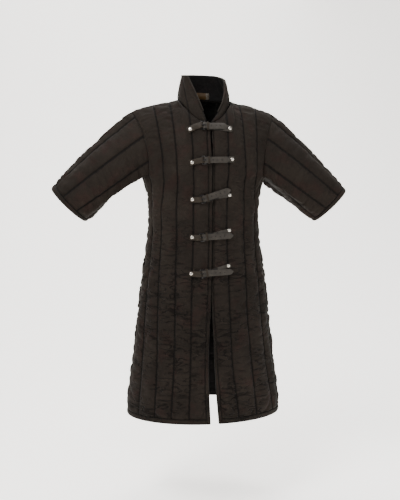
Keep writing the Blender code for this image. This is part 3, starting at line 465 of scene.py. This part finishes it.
def maths(tree, operation, *values):
    """A sum worked on sources or values."""
    return put(tree, "Math", *enumerate(values), operation=operation).outputs[0]


def spread(tree, value, source=(0.0, 1.0), target=(0.0, 1.0)):
    """A value brought from one range into another and held in it."""
    return put(tree, "MapRange", ("Value", value), ("From Min", source[0]), ("From Max", source[1]),
               ("To Min", target[0]), ("To Max", target[1])).outputs[0]


def mixed(tree, factor, first, second, blend="MIX"):
    """Two colours mixed by a factor."""
    return put(tree, "Mix", ("Factor", factor), (6, first), (7, second), data_type="RGBA",
               blend_type=blend).outputs[2]


def cloudy(tree, place, scale, detail, roughness=0.5, distortion=0.0):
    """A noise value at a place."""
    return put(tree, "TexNoise", ("Vector", place), ("Scale", scale), ("Detail", detail),
               ("Roughness", roughness), ("Distortion", distortion)).outputs[0]


def bumped(tree, strength, distance, height):
    """The normal of a surface with a height over it."""
    return put(tree, "Bump", ("Strength", strength), ("Distance", distance), ("Height", height)).outputs[0]


def join_up(tree, target, colour, rough, normal=None):
    """Links a colour, a roughness and a normal to a shader or to a group's output."""
    for key, source in ((0, colour), ("Roughness", rough), ("Normal", normal)):
        if source:
            tree.links.new(source, target.inputs[key])


def look_of(name, group, values, settings):
    """A material that shows a node group with its own values."""
    material, tree, shader = new_material(name, settings)
    effect = tree.nodes.new("ShaderNodeGroup")
    effect.node_tree = group
    for word, value in values.items():
        effect.inputs[word].default_value = value
    join_up(tree, shader, effect.outputs["Color"], effect.outputs["Roughness"], effect.outputs["Normal"])
    return material


# Brushed cotton: a soft uneven tone with pale and reddish areas, fine cross wrinkles that deepen toward the
# skirt, with painted shade in their folds, and stitched lines with their thread, with painted shade in the
# grooves along them.
cotton, cotton_in, cotton_out = new_group(
    "brushed_cotton",
    (("Color", "NodeSocketColor", (0.03, 0.025, 0.02, 1)), ("Worn", "NodeSocketColor", (0.09, 0.08, 0.07, 1)),
     ("Line Spacing", "NodeSocketFloat", 0.057), ("Line Depth", "NodeSocketFloat", 1.0)),
    (("Color", "NodeSocketColor"), ("Roughness", "NodeSocketFloat"), ("Normal", "NodeSocketVector")))
uv = put(cotton, "UVMap", uv_map="cut").outputs[0]
split = put(cotton, "SeparateXYZ", ("Vector", uv))
place = put(cotton, "TexCoord").outputs["Object"]
off_line = maths(cotton, "PINGPONG", split.outputs["X"], 0.5)
away = maths(cotton, "MULTIPLY", off_line, cotton_in.outputs["Line Spacing"])
in_line = spread(cotton, away, (0.0012, 0.0042), (1.0, 0.0))
line = maths(cotton, "MULTIPLY", in_line, cotton_in.outputs["Line Depth"])
thread_on = maths(cotton, "GREATER_THAN", maths(cotton, "PINGPONG", split.outputs["Y"], 0.0021), 0.0005)
thread = maths(cotton, "MULTIPLY", thread_on, maths(cotton, "LESS_THAN", away, 0.00055))
tone = cloudy(cotton, place, 9.0, 5.0, 0.6)
nap = cloudy(cotton, place, 420.0, 4.0, 0.75)
crumple = cloudy(cotton, place, 62.0, 3.0, 0.55, 0.6)
stretched = put(cotton, "Mapping", ("Vector", uv), ("Scale", (1.1, 62.0, 1.0))).outputs[0]
folds = cloudy(cotton, stretched, 1.0, 1.5, 0.5, 0.7)
fold_gap = maths(cotton, "ABSOLUTE", maths(cotton, "SUBTRACT", folds, 0.5))
sharp = spread(cotton, fold_gap, (0.012, 0.050), (1.0, 0.0))
in_area = spread(cotton, cloudy(cotton, place, 14.0, 2.0), (0.37, 0.55))
height = put(cotton, "SeparateXYZ", ("Vector", place)).outputs["Z"]
low_down = spread(cotton, height, (-0.34, -0.62), (0.20, 1.0))
wrinkle = maths(cotton, "MULTIPLY", sharp, maths(cotton, "MULTIPLY", in_area, low_down))
worn = spread(cotton, maths(cotton, "MULTIPLY", tone, nap), (0.20, 0.42), (0.0, 0.62))
coloured = mixed(cotton, worn, cotton_in.outputs["Color"], cotton_in.outputs["Worn"])
in_red = spread(cotton, cloudy(cotton, place, 22.0, 2.0), (0.52, 0.68), (0.0, 0.50))
tinted = mixed(cotton, in_red, coloured, (1.30, 0.88, 0.92, 1), "MULTIPLY")
# Painted shade: the colour is darkened along the sharp cross folds, more toward the skirt.
folded = mixed(cotton, maths(cotton, "MULTIPLY", wrinkle, 0.72), tinted, (0.0016, 0.0012, 0.0010, 1))
# Painted shade: the colour is darkened in the grooves along the stitched lines.
groove_shaded = mixed(cotton, line, folded, (0.0022, 0.0018, 0.0016, 1))
threaded = mixed(cotton, thread, groove_shaded, (0.0085, 0.0070, 0.0060, 1))
relief = maths(cotton, "MULTIPLY", nap, 0.00035)
for source, depth in ((crumple, 0.0015), (wrinkle, -0.0032), (line, -0.0016)):
    relief = maths(cotton, "ADD", relief, maths(cotton, "MULTIPLY", source, depth))
join_up(cotton, cotton_out, threaded, spread(cotton, nap, target=(0.74, 0.96)),
        bumped(cotton, 0.9, 1.0, relief))


def cloth_material(name, colour, worn_colour, spacing, depth, sheen):
    """A cotton with its own colours and stitched lines."""
    return look_of(name, cotton, {"Color": (*colour, 1), "Worn": (*worn_colour, 1), "Line Spacing": spacing,
                                  "Line Depth": depth},
                   {"Sheen Weight": sheen, "Sheen Roughness": 0.45, "Sheen Tint": (0.75, 0.68, 0.60, 1),
                    "Specular IOR Level": 0.07})


quilt = cloth_material("quilted_cotton", (0.0092, 0.0070, 0.0054), (0.0200, 0.0154, 0.0120), 0.057, 1.0, 0.02)
lining = cloth_material("black_lining", (0.0022, 0.0020, 0.0019), (0.0045, 0.0042, 0.0040), 0.057, 0.0, 0.02)


def wall_of(piece, outside, thickness=wall_thickness):
    """Gives a sheet its thickness, with the lining on its inner face."""
    piece.data.materials.append(outside)
    piece.data.materials.append(lining)
    solidify = piece.modifiers.new("wall", "SOLIDIFY")
    solidify.thickness = thickness
    solidify.offset = -1.0
    solidify.use_even_offset = False
    solidify.material_offset = 1
    solidify.material_offset_rim = 0
    solidify.use_quality_normals = True


heights = list(np.linspace(hem_z + hem_strip, underarm_z, int((underarm_z - hem_z) / row_step)))
upper_steps = [i / 60 for i in range(1, 61)]
front_creases = {                       # each crease: its two ends in x and z, its depth and half its width
    -1: ((-0.148, -0.190, -0.170, -0.262, 0.0042, 0.010), (-0.192, -0.250, -0.118, -0.305, 0.0036, 0.010),
         (-0.196, -0.275, -0.140, -0.350, 0.0030, 0.009), (-0.105, -0.375, -0.085, -0.392, 0.0026, 0.007),
         (-0.090, -0.690, -0.066, -0.750, 0.0030, 0.011), (-0.205, -0.560, -0.150, -0.600, 0.0030, 0.010),
         (-0.225, -0.820, -0.160, -0.850, 0.0030, 0.012), (-0.120, -0.940, -0.060, -0.925, 0.0026, 0.010)),
    1: ((0.192, -0.240, 0.130, -0.290, 0.0042, 0.010), (0.200, -0.120, 0.182, -0.225, 0.0034, 0.009),
        (0.172, -0.075, 0.186, -0.105, 0.0030, 0.008), (0.198, -0.275, 0.150, -0.345, 0.0030, 0.009),
        (0.070, -0.892, 0.118, -0.900, 0.0030, 0.010), (0.190, -0.885, 0.235, -0.905, 0.0030, 0.010),
        (0.215, -0.620, 0.165, -0.655, 0.0028, 0.010), (0.130, -0.760, 0.075, -0.745, 0.0026, 0.010)),
}
back_creases = (
    (-0.192, -0.245, -0.110, -0.310, 0.0042, 0.011), (0.190, -0.240, 0.115, -0.315, 0.0042, 0.011),
    (-0.060, -0.420, 0.050, -0.436, 0.0032, 0.012), (0.080, -0.640, 0.150, -0.668, 0.0030, 0.012),
    (-0.160, -0.800, -0.080, -0.780, 0.0030, 0.012), (0.030, -0.930, 0.110, -0.945, 0.0030, 0.012))


def quilted(name, form, places, rows_z, channel_offset, creases, edges):
    """A quilted panel over a form: sunk at its lines, swollen and puckered between them. Edges are pairs of
    columns: one that runs on under a strip, and the one inside it."""
    normals = form_normals(form, from_axis(form))
    surface = form.copy()
    total_rows = form.shape[0]
    lower_count = len(heights)
    for r in range(total_rows):
        for c in range(form.shape[1]):
            if math.isnan(form[r, c, 0]):
                continue
            place = places[c]
            number = math.floor(place + 1e-6)
            u = place - number
            swell = swelling(u)
            border = min(1.0, (total_rows - 1 - r) / 5.0, r / 3.0 + 0.15)
            aside = abs(place)
            if abs(aside - arm_place) < 1.2 and r >= lower_count - 1:
                border = min(border, max(0.0, (arm_place - aside) * 4.0))
            if aside > arm_place:
                border = min(border, max(0.0, (lower_count - 1 - r) / 4.0))
            strength = eased(chest_folds, clamp((waist_z - form[r, c, 2]) / skirt_reach))
            strength = (strength + side_folds * clamp(aside - side_place)) * swell * eased(border_folds, border)
            rise = -seam_dip * (1 - swell * eased(border_swell, border))
            rise += pucker(number + channel_offset, u, rows_z[r], strength)
            rise -= pressed(form[r, c], creases) * eased(line_press, swell) * border
            if r == total_rows - 1 or (r >= lower_count - 1 and aside >= arm_place - 1e-6):
                rise = -join_dip
            surface[r, c] = form[r, c] + normals[r, c] * min(rise, swell_room)
    surface[0] = form[0] + unit(form[0] - form[2]) * hem_tuck - normals[0] * (hem_sink + bound_dip)
    for edge, inner in edges:
        surface[:, edge] += unit(form[:, edge] - form[:, inner]) * edge_tuck
    return grid_piece(name, surface, normals, lambda r, c: (places[c] + 20.0, rows_z[r])), normals


def finish_cloth(piece, node):
    """The frame facts of one piece of cloth."""
    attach(piece, "root")
    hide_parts(node)


step_count = 5 * channel_steps
front_places = [i / channel_steps for i in range(step_count + 1)]
back_places = [i / channel_steps for i in range(-step_count, step_count + 1)]
forms = {}


def body_panel(node, key, form, places, channel_offset, creases, edges):
    """One quilted panel of the body, from its form to its frame facts."""
    rows_z = running_length(form[:, 2 * channel_steps])
    piece, normals = quilted(node, form, places, rows_z, channel_offset, creases, edges)
    forms[key] = (form, normals)
    settle(piece, padding_room)
    wall_of(piece, quilt)
    finish_cloth(piece, node)


def whole_back(rows, upper):
    """The back's form from side seam to side seam."""
    right_half, left_half = (body_form(side, False, front_places, rows, upper) for side in (-1, 1))
    return np.concatenate((right_half[:, ::-1], left_half[:, 1:]), axis=1)


for side, word, channel_offset, flat, area in ((-1, "right", 0, (0.36, 1.06), 0.290),
                                               (1, "left", 8, (0.35, 1.06), 0.275)):
    body_panel("front_" + word, ("front", side), body_form(side, True, front_places, heights, upper_steps),
               front_places, channel_offset, front_creases[side], ((0, 1),))
body_panel("back", ("back", 0), whole_back(heights, upper_steps), back_places, 24, back_creases, ())


# The bound strips: the same cotton, cut in bands, folded over the raw edges of the fronts and the hem and
# stitched down along both sides. They are thinner than the quilting, and the fronts meet at them.
bound = cloth_material("bound_cotton", (0.0088, 0.0068, 0.0052), (0.0200, 0.0155, 0.0120), 0.017, 0.95, 0.02)
strip_steps, hem_strip_steps = 8, 6
bound_wall = 0.0050
bound_swell = 0.0022
bound_uv = (30.0, 0.94)                 # the strips' place in the cloth's pattern, and how much they cover
edge_turn, edge_turn_reach = 0.0050, 0.0021     # how deep a front strip's edge is turned in, and how wide


def strip(name, form, outward, run, across, stretch, inward=0.0):
    """A bound band over a form. Across runs from 0 to 1 over its width, run is the length along it, and the
    first column is turned in by inward."""
    normals = form_normals(form, outward)
    surface = form.copy()
    for r in range(form.shape[0]):
        for c in range(form.shape[1]):
            u = across(r, c)
            swell = swelling(clamp((u - 0.04) / 0.92))
            small = noise.noise((run(r, c) / 0.012, u * 0.8, stretch)) * 0.0005
            wide = noise.noise((run(r, c) / 0.040, u * 0.5, stretch + 9.0)) * 0.0006
            from_edge = float(np.linalg.norm(form[r, c] - form[r, 0])) / edge_turn_reach
            depth = bound_dip + swell * (small + wide - bound_swell) + inward * math.exp(-from_edge ** 2)
            surface[r, c] = form[r, c] - normals[r, c] * depth
    return grid_piece(name, surface, normals,
                      lambda r, c: (bound_uv[0] + bound_uv[1] * across(r, c), run(r, c)))


strip_places = [-1 + i / strip_steps for i in range(strip_steps + 1)]
strip_heights = [hem_z + 0.0005] + heights
for side, word, width in ((-1, "right", 0.020), (1, "left", 0.012)):
    form = body_form(side, True, strip_places, strip_heights, upper_steps)
    outward = np.zeros(form.shape) + np.array((0.0, -1.0, 0.0))
    lengths = running_length(form[:, 2])
    piece = strip("front_binding_" + word, form, outward, lambda r, c: lengths[r],
                  lambda r, c: c / strip_steps, 3.0 * side, edge_turn)
    wall_of(piece, bound, bound_wall)
    finish_cloth(piece, "front_binding_" + word)

hem_heights = list(np.linspace(hem_z, hem_z + hem_strip, hem_strip_steps + 1))
for word, side in (("front_right", -1), ("front_left", 1), ("back", 0)):
    form = body_form(side, True, front_places, hem_heights, ()) if side else whole_back(hem_heights, ())
    lengths = running_length(form[3])
    piece = strip("hem_binding_" + word, form, from_axis(form), lambda r, c: lengths[c],
                  lambda r, c: r / hem_strip_steps, 20.0 + side)
    wall_of(piece, bound, bound_wall)
    finish_cloth(piece, "hem_binding_" + word)


# The half sleeves: quilted lengthwise in eight channels, set into the armholes with a plain seam, and bound
# with a band at the cuff. They stand out from the body at forty five degrees and crease under the arm.
cuff_middle = (0.457, -0.359)
cuff_half_height, cuff_half_depth = 0.0806, 0.069
sleeve_slope = math.radians(45.0)
sleeve_swell = 0.007
sleeve_hollow = {-1: 0.022, 1: 0.008}
cuff_yaw = {-1: 0.012, 1: -0.004}
cuff_strip = 0.016
sleeve_channels = 8
sleeve_columns = sleeve_channels * channel_steps
sleeve_lengths = 58                     # mesh rows from the armhole to the cuff's strip
cuff_rows = 5
sleeve_folds = 0.62
sleeve_tuck = 0.0035                    # how far it runs on under the body
cuff_tuck, cuff_sink = 0.0038, 0.0018   # how far it runs on under the cuff's strip, and how deep
sleeve_room = 0.0020
under_share = 0.125                     # the share of the armhole from the side seam to its upright part
blended_rows = 4                        # rows over which the body's normals give way to the sleeve's


def armhole(side):
    """The armhole's points and body normals, from the side seam forward, over the top and down the back."""
    front_form, front_normals = forms["front", side]
    back_form, back_normals = forms["back", 0]
    low = len(heights) - 1
    arm, seam = 4 * channel_steps, 5 * channel_steps
    middle = step_count

    def gather(grid, col):
        under = [grid[low, col(c)] for c in range(seam, arm, -1)]
        up = [grid[r, col(arm)] for r in range(low, grid.shape[0])]
        return np.array(under + up)

    front_line = gather(front_form, lambda c: c)
    front_n = gather(front_normals, lambda c: c)
    back_line = gather(back_form, lambda c: middle + side * c)
    back_n = gather(back_normals, lambda c: middle + side * c)
    line = np.concatenate((front_line, back_line[-2:0:-1]))
    n = np.concatenate((front_n, back_n[-2:0:-1]))
    share = np.concatenate((np.linspace(0, under_share, channel_steps + 1),
                            np.linspace(under_share, 0.5, len(front_line) - channel_steps)[1:]))
    closed = np.concatenate((share, 1 - share[-2:0:-1], (1.0,)))
    wanted = np.arange(sleeve_columns) / sleeve_columns
    out = []
    for source in (line, n):
        ring = np.concatenate((source, source[:1]))
        out.append(np.stack([np.interp(wanted, closed, ring[:, i]) for i in range(3)], axis=-1))
    return out[0], unit(out[1])


def sleeve_form(side):
    """The sleeve's smooth form from the armhole to the cuff, its normals and its length."""
    loop, body_normals = armhole(side)
    up = np.array((side * math.sin(sleeve_slope), 0.0, math.cos(sleeve_slope)))
    axis = np.array((side * math.cos(sleeve_slope), 0.0, -math.sin(sleeve_slope)))
    middle = np.array((side * cuff_middle[0], 0.0, cuff_middle[1]))
    turn = np.arange(sleeve_columns) * 2 * math.pi / sleeve_columns
    cuff = middle - np.outer(np.cos(turn), up) * cuff_half_height
    cuff[:, 1] -= cuff_half_depth * np.sin(turn)
    cuff += np.outer(np.sin(turn), axis) * cuff_yaw[side]
    under = sleeve_hollow[side] * np.clip(np.cos(turn), 0, 1)[:, None] ** 1.5
    radial = unit(cuff - middle)
    length = float(np.linalg.norm(middle - loop.mean(axis=0)))
    cuff_start = 1 - cuff_strip / length
    stops = (list(np.linspace(0, cuff_start, sleeve_lengths + 1))
             + list(np.linspace(cuff_start, 1, cuff_rows + 1)[1:]))
    form = np.array([loop + (cuff - loop) * s + radial * sleeve_swell * 4 * s * (1 - s)
                     - radial * under * 6.75 * s * (1 - s) ** 2 for s in stops])
    normals = form_normals(form, radial[None], wrap=True)
    for r in range(blended_rows):
        part = r / blended_rows
        normals[r] = unit(body_normals * (1 - part) + normals[r] * part)
    return form, normals, stops, length


# A crease: where round the sleeve (0 under the arm, 0.25 in front, 0.5 on top), where along it, depth, sizes
sleeve_creases = ((0.12, 0.10, 0.0040, 0.050, 0.018), (0.20, 0.22, 0.0034, 0.060, 0.016),
                  (0.07, 0.34, 0.0036, 0.050, 0.018), (0.88, 0.12, 0.0040, 0.050, 0.018),
                  (0.80, 0.28, 0.0034, 0.060, 0.016), (0.30, 0.55, 0.0024, 0.055, 0.016),
                  (0.42, 0.20, 0.0022, 0.040, 0.020), (0.16, 0.68, 0.0026, 0.050, 0.016))
around_cuff = 2 * math.pi * (cuff_half_height + cuff_half_depth) / 2
for side, word in ((-1, "right"), (1, "left")):
    form, normals, stops, length = sleeve_form(side)
    body = form[:sleeve_lengths + 1]
    surface = body.copy()
    for r in range(body.shape[0]):
        for c in range(sleeve_columns):
            place = c / channel_steps + 0.5
            number = math.floor(place) % sleeve_channels
            u = place - math.floor(place)
            swell = swelling(u)
            border = min(1.0, r / 5.0, (sleeve_lengths - r) / 3.0 + 0.15)
            rise = -seam_dip * (1 - swell * eased(border_swell, border))
            rise += pucker(number + 60 + 10 * side, u, stops[r] * length,
                           sleeve_folds * swell * eased(border_folds, border))
            for around, along, depth, wide, tall in sleeve_creases:
                gap = abs(c / sleeve_columns - around)
                gap = min(gap, 1 - gap)
                away = (gap / wide / 1.6) ** 2 + ((stops[r] - along + 0.25 * side * gap) / tall / 1.4) ** 2
                rise -= depth * math.exp(-away) * border
            if r == 0:
                rise = -join_dip
            surface[r, c] = body[r, c] + normals[r, c] * min(rise, swell_room)
    surface[0] += unit(body[0] - body[2]) * sleeve_tuck
    surface[-1] = body[-1] + unit(body[-1] - body[-3]) * cuff_tuck
    surface[-1] -= normals[sleeve_lengths] * (bound_dip + cuff_sink)
    piece = grid_piece("sleeve_" + word, surface, normals,
                       lambda r, c: (c / channel_steps + 40.5, stops[r] * length), wrap=True)
    settle(piece, sleeve_room)
    wall_of(piece, quilt)
    finish_cloth(piece, "sleeve_" + word)

    band = form[sleeve_lengths:]
    outward = unit(normals[sleeve_lengths:])
    band_surface = band.copy()
    for r in range(cuff_rows + 1):
        for c in range(sleeve_columns):
            u = r / cuff_rows
            swell = swelling(u)
            small = noise.noise((c * 0.42, u * 0.8, 70.0 + side)) * 0.0006
            small *= 1 - abs(2 * c / sleeve_columns - 1) ** 6
            band_surface[r, c] = band[r, c] - outward[r, c] * (bound_dip + swell * (small - bound_swell))
    piece = grid_piece("cuff_binding_" + word, band_surface, outward, lambda r, c: (
        bound_uv[0] + bound_uv[1] * r / cuff_rows, c / sleeve_columns * around_cuff), wrap=True)
    wall_of(piece, bound, bound_wall)
    finish_cloth(piece, "cuff_binding_" + word)


# The stand collar: a quilted band sewn to the neckline, open in front, where its two ends fall aside in a V.
# A narrow roll of the same cotton binds its ends and its upper edge.
collar_half, collar_depth = 0.078, 0.078
collar_rise, collar_tilt, collar_drop = 0.0778, 0.0167, 0.0160
collar_corners = (math.radians(58.0), math.radians(70.0))
collar_wall = 0.0062
collar_columns, collar_rows = 108, 20
collar_channels = 9
collar_seam_dip, collar_folds = 0.0022, 0.45
neck_tuck, roll_tuck, end_tuck = 0.0055, 0.0035, 0.0025     # how far it runs on under the body and the roll


def collar_form():
    """The collar's smooth form from the neck seam to its upper edge, with the neck's body normals."""
    start = math.asin(front_edges(-1, 0.0)[1] / neck_half)
    end = 2 * math.pi - math.asin(front_edges(1, 0.0)[0] / neck_half)
    base = []
    for t in np.linspace(start, end, collar_columns + 1):
        front = math.cos(t) > 0
        spot = neck_point(t if front else math.pi - t, front)
        spot[0] = -neck_half * math.sin(t)
        base.append(spot)
    base = np.array(base)
    turn = np.unwrap(np.arctan2(base[:, 0], -base[:, 1]))
    share = (turn - turn[0]) / (turn[-1] - turn[0])
    angle = -(collar_corners[0] + share * (2 * math.pi - sum(collar_corners)))
    end_part = (-angle - math.pi) / (math.pi - collar_corners[1])
    drop = collar_drop * np.clip((end_part - 0.35) / 0.65, 0, 1) ** 1.4
    top = np.stack((collar_half * np.sin(angle), -collar_depth * np.cos(angle),
                    collar_rise - collar_tilt * np.cos(angle) - drop), axis=-1)
    flat_out = unit(base * np.array((1.0, 1.0, 0.0)))
    aside = 0.080 * np.maximum(0, share - 0.8) + 0.020 * np.maximum(0, 0.2 - share)
    rows = []
    for v in np.linspace(0, 1, collar_rows + 1):
        arc = 4 * v * (1 - v)
        row = base + (top - base) * v + flat_out * 0.003 * arc
        row[:, 0] += aside * arc
        rows.append(row)
    return np.array(rows)


form = collar_form()
normals = form_normals(form, from_axis(form))
surface = form.copy()
for r in range(form.shape[0]):
    for c in range(form.shape[1]):
        place = c / collar_columns * collar_channels
        u = place - math.floor(place)
        swell = swelling(u, 0.7)
        border = min(1.0, r / 4, (collar_rows - r) / 2 + 0.3)
        rise = -collar_seam_dip * (1 - swell * border)
        rise += collar_folds * pucker(math.floor(place) + 90, u, r * 0.006, swell * border)
        if r == 0:
            rise = -join_dip
        surface[r, c] = form[r, c] + normals[r, c] * min(rise, swell_room)
surface[0] += unit(form[0] - form[2]) * neck_tuck
surface[-1] += unit(form[-1] - form[-3]) * roll_tuck
for edge, inner in ((0, 1), (-1, -2)):
    surface[:, edge] += unit(form[:, edge] - form[:, inner]) * end_tuck
collar = grid_piece("collar", surface, normals,
                    lambda r, c: (c / collar_columns * collar_channels + 50, r * 0.009))
wall_of(collar, quilt, collar_wall)
finish_cloth(collar, "collar")


def copy_of(node, *materials):
    """A merged copy of a CAD node with its own materials, as a start for a finished piece."""
    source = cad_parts[node]
    work = bmesh.new()
    work.from_mesh(source.data)
    bmesh.ops.remove_doubles(work, verts=work.verts, dist=1e-6)
    bmesh.ops.dissolve_limit(work, angle_limit=math.radians(1.0), verts=work.verts, edges=work.edges)
    piece = add_object(node + "_finish", work)
    for material in materials:
        piece.data.materials.append(material)
    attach(piece, "root")
    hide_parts(node)
    return piece


def rounded(piece, width, segments=2, angle=35.0):
    """Rounds a piece's edges."""
    bevel = piece.modifiers.new("rounded", "BEVEL")
    bevel.width = width
    bevel.segments = segments
    bevel.limit_method = "ANGLE"
    bevel.angle_limit = math.radians(angle)
    bevel.harden_normals = False


plain_bound = cloth_material("rolled_cotton", (0.0100, 0.0078, 0.0062), (0.0230, 0.0185, 0.0150),
                             0.017, 0.0, 0.04)
roll = copy_of("collar_binding", plain_bound)
rounded(roll, 0.0016, 3, 30.0)


# The neck label: a small woven tab sewn inside the back of the collar. It is bare here, gold on one side and
# grey on the other.
weave, tree, shader = new_material("woven_tab", {"Specular IOR Level": 0.10})
place = put(tree, "TexCoord").outputs["Object"]
half_way = maths(tree, "GREATER_THAN", put(tree, "SeparateXYZ", ("Vector", place)).outputs["X"], 0.0200)
threads = put(tree, "TexWave", ("Vector", place), ("Scale", 700.0), bands_direction="Z").outputs[1]
two_tone = mixed(tree, half_way, (0.032, 0.0150, 0.0016, 1), (0.065, 0.057, 0.046, 1))
join_up(tree, shader, mixed(tree, threads, two_tone, (0.016, 0.009, 0.003, 1)),
        spread(tree, threads, target=(0.45, 0.7)), bumped(tree, 0.4, 0.0003, threads))
label = copy_of("neck_label", weave)
rounded(label, 0.0002, 1)


# The fastenings' leather: each strap is one length of waxed grey brown leather, riveted to the left front,
# taken back round the buckle's bar and on through a keeper. A shorter, browner one holds the buckle to the
# right front.
hide, hide_in, hide_out = new_group(
    "waxed_leather",
    (("Color", "NodeSocketColor", (0.07, 0.06, 0.05, 1)),
     ("Edge", "NodeSocketColor", (0.02, 0.017, 0.014, 1)),
     ("Scuff", "NodeSocketColor", (0.16, 0.15, 0.13, 1))),
    (("Color", "NodeSocketColor"), ("Roughness", "NodeSocketFloat"), ("Normal", "NodeSocketVector")))
place = put(hide, "TexCoord").outputs["Object"]
grain = put(hide, "TexVoronoi", ("Vector", place), ("Scale", 900.0)).outputs["Distance"]
blotch = cloudy(hide, place, 70.0, 6.0, 0.65)
scrape = cloudy(hide, place, 260.0, 5.0, 0.8)
blotched = spread(hide, blotch, (0.35, 0.7), (0.0, 0.75))
dark = mixed(hide, blotched, hide_in.outputs["Color"], hide_in.outputs["Edge"])
pale = mixed(hide, spread(hide, scrape, (0.58, 0.74), (0.0, 0.7)), dark, hide_in.outputs["Scuff"])
join_up(hide, hide_out, pale, spread(hide, blotch, target=(0.42, 0.70)),
        bumped(hide, 0.35, 0.0004, maths(hide, "ADD", grain, scrape)))


def leather_material(name, colour, edge, scuff):
    """A leather with its own colours."""
    return look_of(name, hide, {"Color": (*colour, 1), "Edge": (*edge, 1), "Scuff": (*scuff, 1)},
                   {"Specular IOR Level": 0.12})


strap_leather = leather_material("strap_leather", (0.0290, 0.0250, 0.0210), (0.0160, 0.0137, 0.0113),
                                 (0.066, 0.058, 0.048))
chape_leather = leather_material("chape_leather", (0.0180, 0.0132, 0.0088), (0.0095, 0.0070, 0.0046),
                                 (0.044, 0.034, 0.024))
# The leather's back side, made dark enough to serve also as painted shade under the upper layer and in the
# holes.
flesh_and_shade = leather_material("flesh_side_and_shade", (0.0075, 0.0062, 0.0050), (0.0050, 0.0042, 0.0034),
                         (0.0180, 0.0150, 0.0120))
facing_back = -0.5                      # a face turned back at least this much can lie over the lower layer
layer_reach = 0.012                     # and the lower layer is within this distance
off_face = 0.0004
hole_face = 2.45e-6                     # only the faces of a hole's wall are smaller than this


def darken_inside(piece):
    """Gives the lower layer, where the upper one covers it, and the holes' walls the leather's dark back side,
    darkened as painted shade under the upper layer and in the holes.
    """
    piece.data.materials.append(flesh_and_shade)
    work = bmesh.new()
    work.from_mesh(piece.data)
    hit = BVHTree.FromBMesh(work)
    for face in work.faces:
        start = face.calc_center_median() + face.normal * off_face
        below = face.normal.y < facing_back and hit.ray_cast(start, face.normal, layer_reach)[0]
        if below or face.calc_area() < hole_face:
            face.material_index = 1
    work.to_mesh(piece.data)
    work.free()


for number in range(1, 6):
    for node, material, width, slot_name in (("strap_", strap_leather, 0.0004, "strap_leather"),
                                             ("chape_", chape_leather, 0.0004, "buckle_strap_leather"),
                                             ("keeper_", chape_leather, 0.0003, "buckle_strap_leather")):
        piece = copy_of(node + str(number), material)
        if node == "strap_":
            darken_inside(piece)
        rounded(piece, width, 2, 40.0)


# The metal: cast black buckle frames with a loose tongue each, and domed nickel rivets that hold the leather
# to the cloth, bright on top and with a rim of painted shade in the black metal where they meet the leather.
steel_and_rim_shade, tree, shader = new_material("black_steel", {"Metallic": 1.0})
patches = cloudy(tree, put(tree, "TexCoord").outputs["Object"], 300.0, 5.0, 0.7)
bare = spread(tree, patches, (0.52, 0.70))
join_up(tree, shader, mixed(tree, bare, (0.014, 0.014, 0.015, 1), (0.15, 0.14, 0.13, 1)),
        spread(tree, patches, target=(0.28, 0.55)), bumped(tree, 0.25, 0.0003, patches))
nickel, tree, shader = new_material("nickel", {"Metallic": 1.0})
tarnish = cloudy(tree, put(tree, "TexCoord").outputs["Object"], 350.0, 4.0)
join_up(tree, shader, mixed(tree, tarnish, (0.66, 0.62, 0.55, 1), (0.24, 0.21, 0.18, 1)),
        spread(tree, tarnish, target=(0.16, 0.38)))
dome_front = -0.55                      # faces of a rivet turned less to the front than this take the black metal as painted shade round its rim
for number in range(1, 6):
    for node, width in (("buckle_", 0.0008), ("tongue_", 0.0004)):
        piece = copy_of(node + str(number), steel_and_rim_shade)
        rounded(piece, width, 3, 40.0)
    for node in ("rivet_chape_", "rivet_strap_"):
        piece = copy_of(node + str(number), nickel, steel_and_rim_shade)
        # Painted shade: a rivet's faces turned away from the front get the black metal.
        for face in piece.data.polygons:
            if face.normal.y > dome_front:
                face.material_index = 1
        rounding = piece.modifiers.new("round", "SUBSURF")
        rounding.levels = 2
        rounding.render_levels = 2
